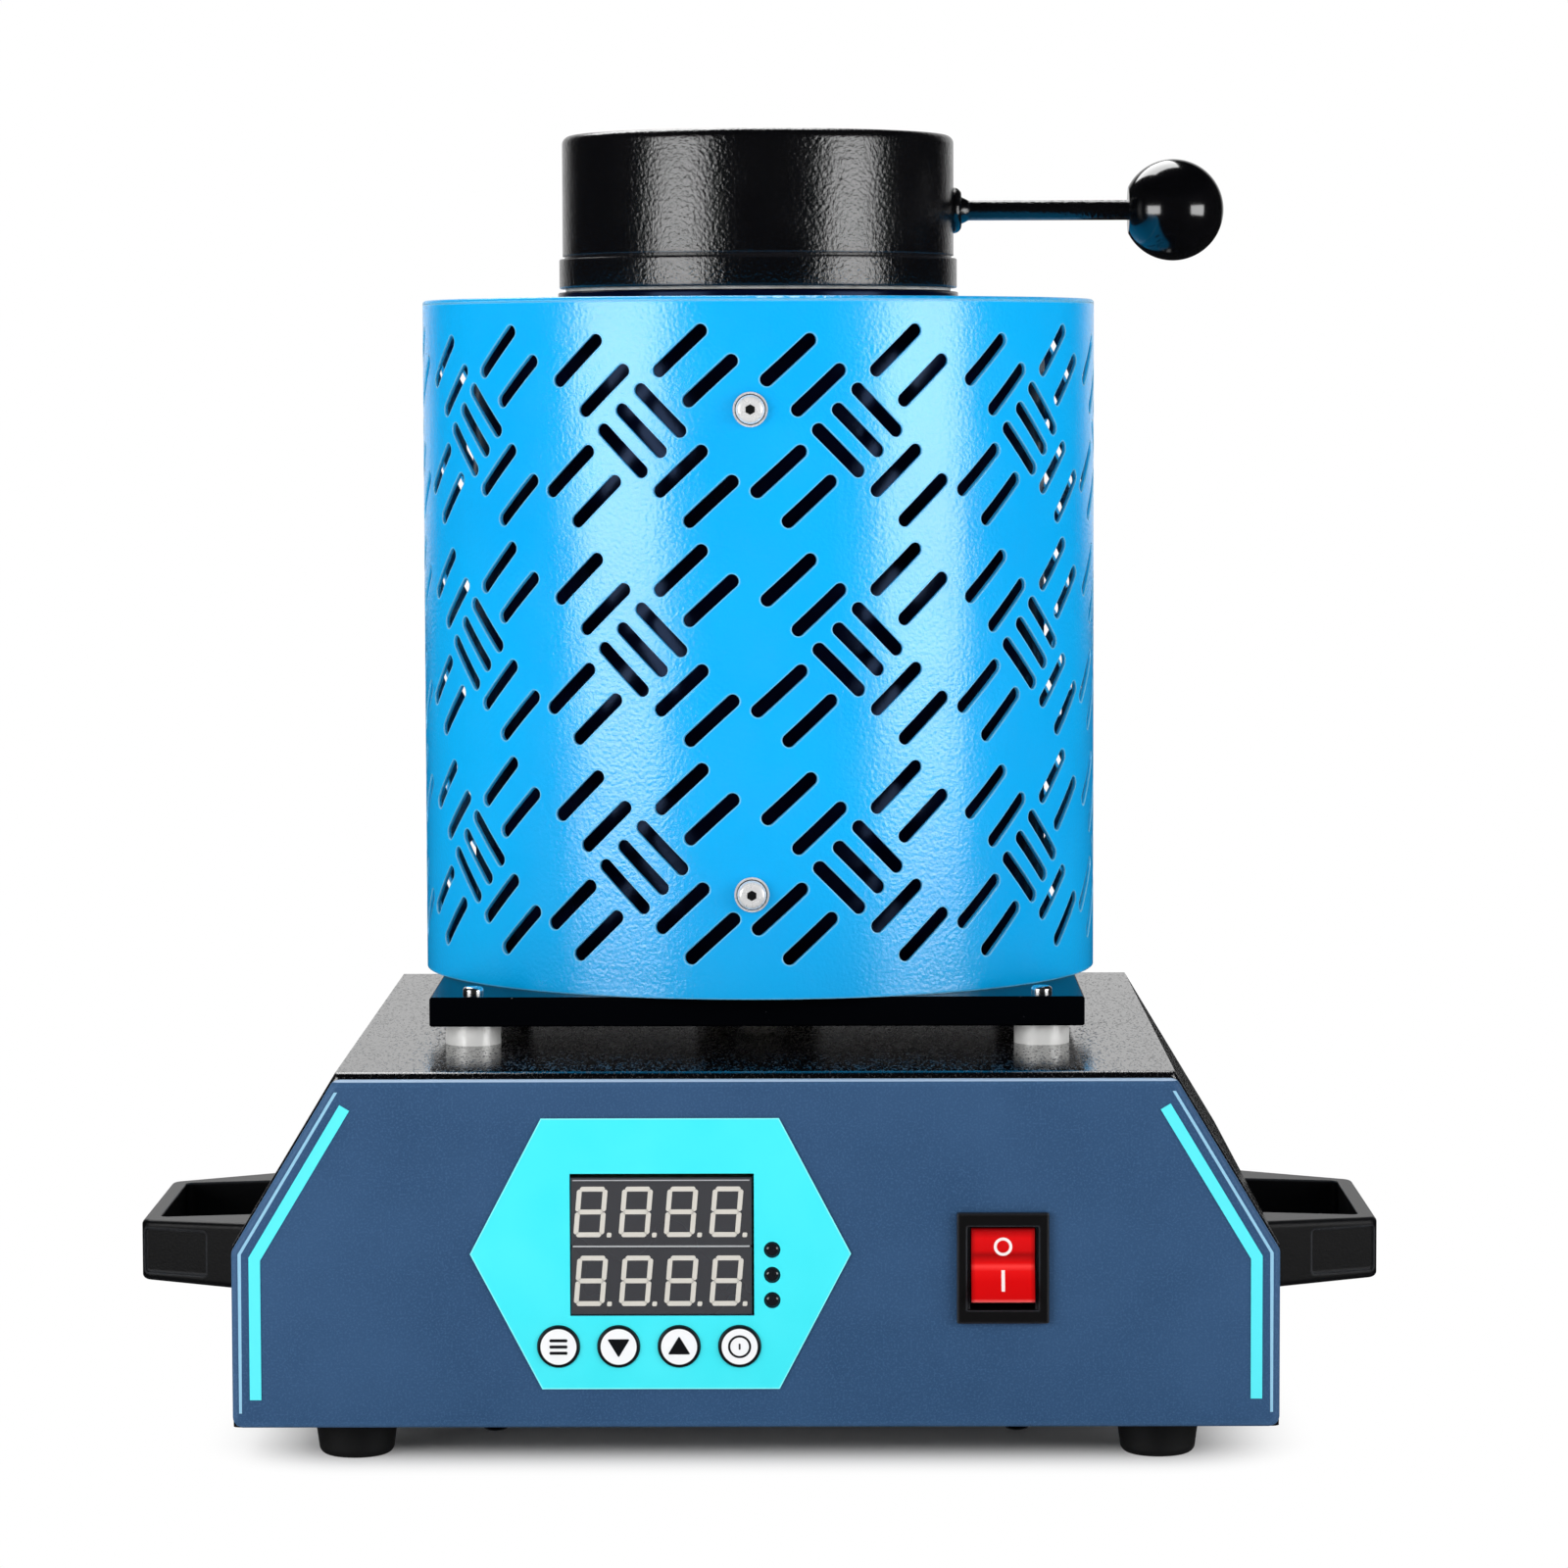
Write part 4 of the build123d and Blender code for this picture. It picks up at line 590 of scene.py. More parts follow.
ROCKER_RED, SIDE_SHADE_RED = screen(222, 4, 6), screen(120, 0, 2)
ROCKER_SHINE = {"Specular IOR Level": 0.3}
rocker_red = moulded("rocker_red", ROCKER_RED, 0.16, 200, 0.02 * MM, ROCKER_SHINE)
rocker_low, rocker_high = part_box("rocker")
height_bands(rocker_red, rocker_low[2], rocker_high[2], ROCKER_LIGHT_BANDS)
rocker_half = (rocker_high[0] - rocker_low[0]) / 2
rocker_middle = [(low + high) / 2 for low, high in zip(rocker_low, rocker_high)]
# Painted shade: darker red towards both sides.
sideways = from_centre(rocker_red, rocker_middle, (1, 0, 0))
side_shade_from, side_shade_to = rocker_half * SIDE_SHADE_BEGINS, rocker_half * SIDE_SHADE_FULL
vary(rocker_red, "Base Color", sideways, ROCKER_RED, SIDE_SHADE_RED, side_shade_from, side_shade_to)
dress(rocker_red, "rocker")

# %% [markdown]
# ### Firebrick, ceramic and fibre
#
# With the lid swung aside the chamber shows. Its liner is a rough grey-white ceramic, the
# insulation is felted fibre. Fibre needs two layers of noise: long thin strands and soft lumps.

# %% Ceramic and fibre finishes
liner_ceramic = finish("liner_ceramic", screen(196, 188, 176), 0.8)
raise_grain(liner_ceramic, 700, 0.25 * MM, 5.0)
blotches = noise(liner_ceramic, 150, 5.0)
vary(liner_ceramic, "Base Color", blotches, screen(178, 168, 155), screen(212, 205, 194))
dress(liner_ceramic, "chamber_liner")

bushing_ceramic = finish("bushing_ceramic", screen(228, 224, 214), 0.35)
raise_grain(bushing_ceramic, 400, 0.03 * MM)
dress(bushing_ceramic, "lead_bushings", "terminal_block")

fibre = finish("ceramic_fibre", screen(228, 226, 220), 0.95)
raise_grain(fibre, 420, 0.5 * MM, 5.0, (1, 1, 3))
raise_grain(fibre, 1500, 0.12 * MM, 3.0, (3, 1, 1))
vary(fibre, "Base Color", noise(fibre, 200, 4.0), screen(214, 211, 203), screen(238, 236, 231))
dress(
    fibre,
    "lid_insulation",
    "lid_gasket",
    "top_insulation",
    "base_insulation",
    "insulation_blanket",
)

# %% [markdown]
# ## Printed and moulded details
#
# The control panel's prints are far thinner than any part, but they are what the eye goes to.
# Each is a flat shape with a hair of thickness, laid on the face that carries it. Flat shapes
# are drawn lying down, in the X-Y plane, where Blender's primitives start, and then stood up
# to face the front. `stand` does that last step and also moves the place into the mesh, so
# that every finished piece's own origin stays at the world's.

# %% Helpers that place and keep a piece
FRONT = Matrix.Rotation(pi / 2, 4, "X")


def deselect():
    """Nothing stays selected, so that an operator acts only on what comes next."""
    bpy.ops.object.select_all(action="DESELECT")


def middle(name):
    """The middle of a solid part's box."""
    low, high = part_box(name)
    return (Vector(low) + Vector(high)) / 2


def stand(made, place, turn=Matrix()):
    """Stand a lying shape up to face the front at a place, after an extra turn if given."""
    made.data.transform(Matrix.Translation(place) @ turn @ FRONT)


def keep(made, name, material, body):
    """Name a finished piece, paint it and let it ride on a body."""
    made.name = made.data.name = name
    made.data.materials.clear()
    made.data.materials.append(material)
    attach(made, body)
    return made


print("front faces look along", [round(value) for value in FRONT @ Vector((0, 0, 1))])

# %% [markdown]
# Two shapes make most of the prints: a bar whose corners can be cut back, and shapes joined
# from several of them. A print gets its thickness by extruding the flat shape once. Solidify
# would do the same, but one extrusion is quicker and leaves the normals to be set just once.

# %% Helpers that draw flat shapes
PRINT = 0.06 * MM


def flat_bar(length, width, centre=(0.0, 0.0), upright=False, pointed=0.0):
    """A flat bar lying in X-Y, with its corners cut back by a share of its half width."""
    deselect()
    bpy.ops.mesh.primitive_plane_add(size=1, location=(*centre, 0))
    bar = bpy.context.object
    bar.scale = (width, length, 1) if upright else (length, width, 1)
    bpy.ops.object.transform_apply(location=True, rotation=False, scale=True)
    if pointed:
        cut = width / 2 * pointed
        bpy.ops.object.mode_set(mode="EDIT")
        bpy.ops.mesh.select_all(action="SELECT")
        bpy.ops.mesh.bevel(offset=cut, affect="VERTICES", offset_type="WIDTH")
        bpy.ops.object.mode_set(mode="OBJECT")
    return bar


def join(pieces):
    """Make one mesh of several, and return it."""
    deselect()
    for one in pieces:
        one.select_set(True)
    bpy.context.view_layer.objects.active = pieces[0]
    bpy.ops.object.join()
    return pieces[0]


def thicken(made, depth):
    """Give a flat shape lying in X-Y its thickness, upwards."""
    deselect()
    made.select_set(True)
    bpy.context.view_layer.objects.active = made
    bpy.ops.object.mode_set(mode="EDIT")
    bpy.ops.mesh.select_all(action="SELECT")
    bpy.ops.mesh.extrude_region_move(TRANSFORM_OT_translate={"value": (0, 0, depth)})
    bpy.ops.mesh.select_all(action="SELECT")
    bpy.ops.mesh.normals_make_consistent(inside=False)
    bpy.ops.object.mode_set(mode="OBJECT")


print("a print is", PRINT / MM, "mm thick")

# %% [markdown]
# ### The displays' digits
#
# Each display is a moulded block with four slanted eights and a decimal point after each. The
# seven segments are bars with cut corners. One digit is built lying down, slanted by a shear
# and copied to its eight places. The unlit segments are milky plastic.

# %% Build one digit
DIGIT_HEIGHT = 14.1 * MM
DIGIT_WIDTH = 8.5 * MM
STROKE = 1.35 * MM
SEGMENT_GAP = 0.25 * MM
SEGMENT_TAPER = 0.9
POINT_SIZE = 1.3 * MM
POINT_TAPER = 0.5
POINT_RIGHT = 2.1 * MM
POINT_DOWN = 0.1 * MM
SLANT = tan(radians(5))


def digit():
    """Seven segments and a decimal point, lying in X-Y and centred on the digit."""
    reach_x = (DIGIT_WIDTH - STROKE) / 2
    reach_y = (DIGIT_HEIGHT - STROKE) / 2
    across, up = 2 * reach_x - SEGMENT_GAP, reach_y - SEGMENT_GAP
    rows, columns = (-reach_y, 0, reach_y), (-reach_x, reach_x)
    bars = [flat_bar(across, STROKE, (0, y), pointed=SEGMENT_TAPER) for y in rows]
    for x in columns:
        for y in (-reach_y / 2, reach_y / 2):
            bars.append(flat_bar(up, STROKE, (x, y), upright=True, pointed=SEGMENT_TAPER))
    corner = (reach_x + POINT_RIGHT, -reach_y - POINT_DOWN)
    point = flat_bar(POINT_SIZE, POINT_SIZE, corner, pointed=POINT_TAPER)
    made = join(bars + [point])
    thicken(made, PRINT)
    made.data.transform(Matrix.Shear("XZ", 4, (SLANT, 0)))
    return made


pattern_digit = digit()
print("one digit,", round(DIGIT_HEIGHT / MM, 1), "mm high")

# %% [markdown]
# The eight copies each get a mesh of their own, so that every one can keep its place in its
# mesh. The pattern they came from is deleted.

# %% Copy the digit to its eight places
DIGIT_PITCH = 12.55 * MM
DIGIT_SHIFT = -0.75 * MM

segment_milk = moulded("segment_milk", screen(212, 207, 198), 0.35, 700, 0.01 * MM)
for module in ("display_upper", "display_lower"):
    centre, face_y = middle(module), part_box(module)[0][1]
    for count in range(4):
        copy = pattern_digit.copy()
        copy.data = pattern_digit.data.copy()
        bpy.context.scene.collection.objects.link(copy)
        across = centre.x + DIGIT_SHIFT + (count - 1.5) * DIGIT_PITCH
        stand(copy, Vector((across, face_y, centre.z)))
        keep(copy, f"digit_{module[8:]}_{count + 1}", segment_milk, "base")
bpy.data.objects.remove(pattern_digit)
print("eight digits,", round(DIGIT_PITCH / MM, 2), "mm apart")

# %% [markdown]
# ### The displays' window
#
# Where the two blocks meet, their moulded edges catch the light as one thin bright line, and a
# fainter one runs along the top. Two slim bars with cut corners stand for those edges.

# %% Lines of the display window
SEAM_WIDTH = 0.45 * MM
TOP_EDGE_WIDTH = 0.3 * MM
TOP_EDGE_DROP = 0.7 * MM
WINDOW_MARGIN = 0.6 * MM

edge_light = moulded("moulded_edge", screen(176, 178, 180), 0.3, 500, 0.01 * MM)
upper_low, upper_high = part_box("display_upper")
lower_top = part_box("display_lower")[1][2]
window_width = upper_high[0] - upper_low[0]
for name, width, height in (
    ("window_seam", SEAM_WIDTH, (upper_low[2] + lower_top) / 2),
    ("window_top_edge", TOP_EDGE_WIDTH, upper_high[2] - TOP_EDGE_DROP),
):
    line = flat_bar(window_width - 2 * WINDOW_MARGIN, width, pointed=0.6)
    thicken(line, PRINT)
    stand(line, Vector((middle("display_upper").x, upper_low[1], height)))
    keep(line, name, edge_light, "base")
print("window is", round(window_width / MM, 1), "mm wide")

# %% [markdown]
# ### Signs for the buttons
#
# Each white cap has a sign in the middle: a menu of three bars, a triangle down, a triangle up,
# and a ring round a short bar for power. The triangle is a circle with three corners, which
# are bevelled so that the print looks inked and not cut.

# %% Draw a triangle
TRIANGLE_SIZE = 3.6 * MM
TRIANGLE_SQUAT = 0.95
TRIANGLE_CORNER = 0.12
TRIANGLE_SHIFT = 0.12


def triangle(up):
    """A triangle with slightly rounded corners, lying in X-Y."""
    deselect()
    bpy.ops.mesh.primitive_circle_add(vertices=3, radius=TRIANGLE_SIZE, fill_type="NGON")
    made = bpy.context.object
    made.rotation_euler.z = 0 if up else pi
    made.scale = (1.0, TRIANGLE_SQUAT, 1.0)
    bpy.ops.object.transform_apply(location=True, rotation=True, scale=True)
    corner = TRIANGLE_SIZE * TRIANGLE_CORNER
    bpy.ops.object.mode_set(mode="EDIT")
    bpy.ops.mesh.select_all(action="SELECT")
    bpy.ops.mesh.bevel(offset=corner, segments=3, affect="VERTICES")
    bpy.ops.object.mode_set(mode="OBJECT")
    shift = (-1 if up else 1) * TRIANGLE_SHIFT * TRIANGLE_SIZE
    made.data.transform(Matrix.Translation((0, shift, 0)))
    return made


print("triangles fit in a circle of radius", round(TRIANGLE_SIZE / MM, 1), "mm")

# %% [markdown]
# The menu is three bars joined into one mesh. A ring is a disc that is inset, with its middle
# deleted. Each sign is drawn by a function, so that the next cell can go through the buttons.

# %% Draw the menu and the power sign
MENU_BAR = (5.0 * MM, 0.85 * MM)
MENU_PITCH = 1.75 * MM
POWER_RING = (3.2 * MM, 2.6 * MM)
POWER_BAR = (1.7 * MM, 0.5 * MM)


def flat_ring(outer, inner, sides=48):
    """A flat ring lying in X-Y about the origin."""
    deselect()
    bpy.ops.mesh.primitive_circle_add(vertices=sides, radius=outer, fill_type="NGON")
    bpy.ops.object.mode_set(mode="EDIT")
    bpy.ops.mesh.inset(thickness=(outer - inner) * cos(pi / sides))
    bpy.ops.mesh.delete(type="FACE")
    bpy.ops.object.mode_set(mode="OBJECT")
    return bpy.context.object


def menu_bars():
    """Three bars above one another."""
    return join([flat_bar(*MENU_BAR, (0, row * MENU_PITCH), pointed=0.8) for row in (-1, 0, 1)])


def power_sign():
    """A ring round a short upright bar."""
    bar = flat_bar(*POWER_BAR, upright=True, pointed=0.6)
    return join([flat_ring(*POWER_RING), bar])


signs = {
    "function": menu_bars,
    "down": lambda: triangle(up=False),
    "up": lambda: triangle(up=True),
    "power": power_sign,
}
print("signs:", ", ".join(signs))

# %% [markdown]
# The black ring round each cap follows its rounded edge, so it is part of the finish: white up
# to a radius, black beyond it. It is partly the dark rim seen on the caps and partly painted
# shade of the gap round them. A printed ring would have to bend over the edge. The signs ride
# on their own button, so they sink with it when it is pressed.

# %% Paint the caps and print the signs
RIM_RADIUS = 4.95 * MM
RIM_FADE = 0.08 * MM
BUTTON_WHITE = screen(246, 246, 247)
INK_AND_SHADE_BLACK = screen(12, 13, 18)

ink = moulded("black_ink", INK_AND_SHADE_BLACK, 0.4, 900, 0.005 * MM)
for word, draw in signs.items():
    button = f"button_{word}"
    face = Vector((middle(button).x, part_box(button)[0][1], middle(button).z))
    cap = moulded(f"cap_{word}", BUTTON_WHITE, 0.36, 1600, 0.008 * MM)
    radius, rim_end = from_centre(cap, face), RIM_RADIUS + RIM_FADE
    # Black beyond the radius: partly the caps' own dark rim, partly painted shade of the gap.
    vary(cap, "Base Color", radius, BUTTON_WHITE, INK_AND_SHADE_BLACK, RIM_RADIUS, rim_end)
    dress(cap, button)
    sign = draw()
    thicken(sign, PRINT)
    stand(sign, face)
    keep(sign, f"sign_{word}", ink, f"{button}_body")

# %% [markdown]
# ### The hexagon's outline
#
# The film is framed by a thin dark line of painted shadow, where its raised edge ends on the
# navy paint, and a paler line runs just inside it. Both start from the film's own hexagon: a
# six-sided circle is stretched until its corners lie on those of the film.

# %% Draw the hexagon
HEXAGON_EDGE = 66.0 * MM
film_low, film_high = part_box("panel_overlay")


def hexagon():
    """The film's hexagon, filled and lying in X-Y, with its tips left and right."""
    deselect()
    turn = (0, 0, pi / 2)
    bpy.ops.mesh.primitive_circle_add(vertices=6, radius=1, fill_type="NGON", rotation=turn)
    made = bpy.context.object
    bpy.ops.object.transform_apply(location=True, rotation=True, scale=True)
    half_width = (film_high[0] - film_low[0]) / 2
    half_height = (film_high[2] - film_low[2]) / 2
    for vertex in made.data.vertices:
        tip = abs(vertex.co.y) < 0.1
        side = 1 if vertex.co.x > 0 else -1
        vertex.co.x = side * (half_width if tip else HEXAGON_EDGE / 2)
        vertex.co.y = 0 if tip else (half_height if vertex.co.y > 0 else -half_height)
    return made


print("hexagon", round((film_high[0] - film_low[0]) / MM, 1), "mm from tip to tip")

# %% [markdown]
# Inset keeps an even distance from every edge, which scaling a copy would not. So the hexagon
# is first inset, or outset, to the line's outer edge, then inset again by the line's width,
# and the middle is deleted.

# %% Frames of the hexagon
# Painted shadow: a dark frame where the film's raised edge meets the paint.
SHADOW_OUTLINE = {"outset": 0.55 * MM, "width": 0.5 * MM}
SHADOW_OUTLINE_DEPTH = 0.35 * MM
PALE_LINE = {"outset": -0.3 * MM, "width": 0.35 * MM}

pale_film = finish("pale_film", screen(130, 246, 252), 0.42)
raise_grain(pale_film, 120, 0.02 * MM, 1.0)
film_edge_shadow = finish("film_edge_shadow", screen(14, 42, 66), 0.5)
raise_grain(film_edge_shadow, 900, 0.01 * MM)


def hexagon_frame(outset, width):
    """A frame along the hexagon's edge that starts this far outside it, or inside if negative."""
    made = hexagon()
    bpy.ops.object.mode_set(mode="EDIT")
    bpy.ops.mesh.select_all(action="SELECT")
    if outset > 0:
        bpy.ops.mesh.inset(thickness=outset, use_outset=True)
        bpy.ops.mesh.select_all(action="SELECT")
        bpy.ops.mesh.dissolve_faces()
    else:
        bpy.ops.mesh.inset(thickness=-outset)
        bpy.ops.mesh.select_all(action="INVERT")
        bpy.ops.mesh.delete(type="FACE")
        bpy.ops.mesh.select_all(action="SELECT")
    bpy.ops.mesh.inset(thickness=width)
    bpy.ops.mesh.delete(type="FACE")
    bpy.ops.object.mode_set(mode="OBJECT")
    return made


film_middle = Vector((middle("panel_overlay").x, 0, middle("panel_overlay").z))
for name, sizes, y, depth, material in (
    ("hexagon_shadow_line", SHADOW_OUTLINE, panel_low[1], SHADOW_OUTLINE_DEPTH, film_edge_shadow),
    ("hexagon_pale_line", PALE_LINE, film_low[1], PRINT, pale_film),
):
    line = hexagon_frame(**sizes)
    thicken(line, depth)
    stand(line, film_middle + Vector((0, y, 0)))
    keep(line, name, material, "base")
    print(name, "is", round(sizes["width"] / MM, 2), "mm wide")

# %% [markdown]
# ### Pale lines outside the cyan stripes
#
# A pale hairline runs up each side of the panel between the cyan stripe and the sheet's edge,
# and folds where the panel folds. It is a painted highlight, where a raised bead along the edge
# catches the light. First the panel's own slope is worked out, because a line that runs at an
# even distance inside a folded edge folds a little lower than the edge does.

# %% Measure the panel's fold
PIN_INSET = 1.95 * MM
PIN_WIDTH = 0.8 * MM
PIN_START = 4.3 * MM
PIN_END = 94.2 * MM
LOWER_WALL = 49.5 * MM
TOP_WIDTH = 233.6 * MM

panel_width = panel_high[0] - panel_low[0]
panel_height = panel_high[2] - panel_low[2]
shoulder_lean = (panel_width - TOP_WIDTH) / 2 / (panel_height - LOWER_WALL)
shoulder_stretch = sqrt(1 + shoulder_lean**2)


def fold_height(depth):
    """Where a line that runs this deep inside the edge folds."""
    return LOWER_WALL - depth * (shoulder_stretch - 1) / shoulder_lean


def pin_corner(depth, height):
    """The point of a line that runs this deep inside the right edge, at a height."""
    wall = panel_width / 2 - depth
    return Vector((wall - max(0.0, height - fold_height(depth)) * shoulder_lean, height, 0))


print("panel folds", round(LOWER_WALL / MM, 1), "mm above its foot")

# %% [markdown]
# Each stripe starts as a plane that is stretched up the lower wall. Its top edge is selected
# by height and extruded once more along the slope. The left stripe is the right one mirrored,
# so its faces are flipped to point outwards again.

# %% Pale lines of painted highlight
# Painted highlight: a pale line where a raised bead along the edge catches the light.
pin_highlight = finish("pale_bead_highlight", screen(146, 198, 226), 0.4)
raise_grain(pin_highlight, 700, 0.01 * MM)
fold = fold_height(PIN_INSET)
slope = (-(PIN_END - fold) * shoulder_lean, PIN_END - fold, 0)
pin_edges = (PIN_INSET, PIN_INSET + PIN_WIDTH)
places = [pin_corner(depth, height) for height in (PIN_START, fold) for depth in pin_edges]
for word in ("left", "right"):
    deselect()
    bpy.ops.mesh.primitive_plane_add(size=1)
    stripe = bpy.context.object
    corners = sorted(stripe.data.vertices, key=lambda v: (v.co.y, -v.co.x))
    for vertex, place in zip(corners, places):
        vertex.co = place
    bpy.ops.object.mode_set(mode="EDIT")
    bpy.ops.mesh.select_all(action="DESELECT")
    bpy.ops.object.mode_set(mode="OBJECT")
    for vertex in stripe.data.vertices:
        vertex.select = vertex.co.y > fold - 0.1 * MM
    bpy.ops.object.mode_set(mode="EDIT")
    bpy.ops.mesh.select_mode(type="VERT")
    bpy.ops.mesh.extrude_region_move(TRANSFORM_OT_translate={"value": slope})
    bpy.ops.object.mode_set(mode="OBJECT")
    thicken(stripe, PRINT)
    if word == "left":
        stripe.data.transform(Matrix.Scale(-1, 4, (1, 0, 0)))
        stripe.data.flip_normals()
    stand(stripe, Vector((0, panel_low[1], panel_low[2])))
    keep(stripe, f"bead_highlight_{word}", pin_highlight, "base")
print("two pinstripes,", round(PIN_WIDTH / MM, 1), "mm wide")

# %% [markdown]
# ### Off and on signs of the rocker
#
# The rocker is pressed in at the top, so its upper half lies flush and its lower half leans
# out by twice the tilt. The ring for off sits on the upper half, the bar for on on the lower
# one, and both ride on the rocker. The crease between the halves is found from the joint, so
# that the signs lie exactly on the two faces.

# %% Rocker signs
ROCKER_TILT = radians(10)
ROCKER_CROWN = 5.2 * MM
OFF_RING = (2.55 * MM, 1.75 * MM)
OFF_RISE = 5.1 * MM
ON_BAR = (6.0 * MM, 0.95 * MM)
ON_DROP = 4.5 * MM

white_ink = moulded("white_ink", screen(250, 234, 232), 0.35, 900, 0.005 * MM)
joints = {joint["name"]: joint for joint in frame["joints"]}
pivot = Vector(joints["rocker_tilt"]["pos_m"])
crease = pivot + ROCKER_CROWN * Vector((0, -cos(ROCKER_TILT), sin(ROCKER_TILT)))

off_ring = flat_ring(*OFF_RING)
thicken(off_ring, PRINT)
stand(off_ring, crease + Vector((0, 0, OFF_RISE)))
keep(off_ring, "sign_off", white_ink, "rocker_switch")

on_bar = flat_bar(*ON_BAR, upright=True)
thicken(on_bar, PRINT)
lean = Matrix.Rotation(-2 * ROCKER_TILT, 4, "X")
stand(on_bar, crease + lean @ Vector((0, 0, -ON_DROP)), lean)
keep(on_bar, "sign_on", white_ink, "rocker_switch")
print("rocker crease at", [round(value / MM, 1) for value in crease])

# %% [markdown]
# ### The weld round the lid's rod
#
# The rod is welded to the lid, and the bead is a small irregular ring in the same paint. A
# torus laid round the rod is roughened by a displace modifier, which gives the lumps that a
# weld has. Bump alone would leave its outline perfectly round.

# %% Weld bead
BEAD_RADIUS = 4.8 * MM
BEAD_THICKNESS = 2.0 * MM
BEAD_OUT = 0.3 * MM
LUMP_SIZE = 2.2 * MM
LUMP_HEIGHT = 0.7 * MM

lid_low, lid_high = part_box("lid_shell")
lid_radius = (lid_high[0] - lid_low[0]) / 2
knob = middle("ball_knob")
deselect()
bpy.ops.mesh.primitive_torus_add(
    major_segments=64,
    minor_segments=16,
    major_radius=BEAD_RADIUS,
    minor_radius=BEAD_THICKNESS,
    location=(lid_radius + BEAD_OUT, knob.y, knob.z),
    rotation=(0, pi / 2, 0),
)
bead = bpy.context.object
bpy.ops.object.transform_apply(location=True, rotation=True, scale=True)
ripple = bpy.data.textures.new("weld_ripple", "CLOUDS")
ripple.noise_scale = LUMP_SIZE
lumps = bead.modifiers.new("lumps", "DISPLACE")
lumps.texture = ripple
lumps.texture_coords = "LOCAL"
lumps.strength = LUMP_HEIGHT
bpy.ops.object.modifier_apply(modifier="lumps")
bpy.ops.object.shade_smooth()
keep(bead, "weld_bead", lid_coat, "lid")
print("weld bead on a lid of radius", round(lid_radius / MM, 1), "mm")

# %% [markdown]
# ### Where the screw heads are
#
# Several screws share one solid part, so their places are measured from its mesh. The mesh is
# loose triangles, so corners that lie together are first taken as one, and triangles that
# share a corner then belong to the same screw.

# %% Find the separate screws of a part
NEAR = 0.02 * MM


def islands(name):
    """Boxes of the separate solids in one part, as (low, high) pairs."""
    mesh = parts[name].data
    near = {}
    for vertex in mesh.vertices:
        near.setdefault(tuple(round(c / NEAR) for c in vertex.co), []).append(vertex.index)
    owner = {index: group[0] for group in near.values() for index in group}
    parent = {index: index for index in set(owner.values())}

    def root(index):
        while parent[index] != index:
            parent[index] = parent[parent[index]]
            index = parent[index]
        return index

    for polygon in mesh.polygons:
        first = root(owner[polygon.vertices[0]])
        for index in polygon.vertices[1:]:
            parent[root(owner[index])] = first
    groups = {}
    for vertex in mesh.vertices:
        groups.setdefault(root(owner[vertex.index]), []).append(vertex.co)

    def reach(corners, pick):
        return Vector(pick(corner[i] for corner in corners) for i in range(3))

    return [(reach(group, min), reach(group, max)) for group in groups.values()]


guard_head = max(high[0] - low[0] for low, high in islands("guard_screws")) / 2
print("the guard's screw heads have a radius of", round(guard_head / MM, 2), "mm")

# %% [markdown]
# ### Recesses in the screw heads
#
# The cover and rear panel are held by cross-head screws, the guard by screws with a hexagon
# socket. Cutting the recesses would mean changing the solids, so a dark shape of painted shade
# is laid in each head instead: from any viewing distance it looks like the shaded recess. A thin
# dark ring of painted shadow marks the gap between each of the guard's screws and its washer.

# %% Draw crosses, sockets and gaps
CROSS_ARM = 0.24
SOCKET_RADIUS = 1.5 * MM
GAP_SHADOW_OUTSIDE = 0.28 * MM
GAP_SHADOW_INSIDE = 0.1 * MM

# Painted shade: dark marks for the shaded recesses and the gap round each washer.
recess_shade = finish("recess_shadow", screen(30, 30, 32), 0.5, {"Metallic": 0.6})
raise_grain(recess_shade, 900, 0.01 * MM)


def cross(size):
    """Two crossed bars with tapered ends, lying in X-Y."""
    bars = [flat_bar(size, size * CROSS_ARM, upright=way, pointed=0.7) for way in (False, True)]
    return join(bars)


def socket():
    """A hexagon socket, lying in X-Y."""
    deselect()
    bpy.ops.mesh.primitive_circle_add(vertices=6, radius=SOCKET_RADIUS, fill_type="NGON")
    return bpy.context.object


marks = {
    "case_screws": lambda: cross(3.6 * MM),
    "rear_screws": lambda: cross(2.9 * MM),
    "foot_screws": lambda: cross(4.6 * MM),
    "guard_screws": socket,
    "guard_washers": lambda: flat_ring(guard_head + GAP_SHADOW_OUTSIDE, guard_head - GAP_SHADOW_INSIDE),
}
print("marks for", ", ".join(marks))

# %% [markdown]
# Each mark is drawn lying down, turned to face the way its screw does, and sunk a hair into the
# head. The guard's screws point forwards or backwards. Every other screw points along its
# longest side, and outwards from the middle of the base.

# %% Lay the marks in the heads
MARK_DEPTH = 0.12 * MM
MARK_SUNK = 0.04 * MM

for name, draw in marks.items():
    screws = islands(name)
    for count, (low, high) in enumerate(screws):
        centre = (low + high) / 2
        spans = high - low
        axis = 1 if name.startswith("guard") else max(range(3), key=lambda i: spans[i])
        outward = 1 if centre[axis] > middle("base_cover")[axis] else -1
        tip = centre.copy()
        tip[axis] = high[axis] if outward > 0 else low[axis]
        direction = Vector((0, 0, 0))
        direction[axis] = outward
        mark = draw()
        thicken(mark, MARK_DEPTH)
        turn = direction.to_track_quat("Z", "Y").to_matrix().to_4x4()
        mark.data.transform(Matrix.Translation(tip - direction * MARK_SUNK) @ turn)
        keep(mark, f"recess_{name.replace('_', '-')}_{count + 1}", recess_shade, "base")
    print(name, "marked on", len(screws), "heads")

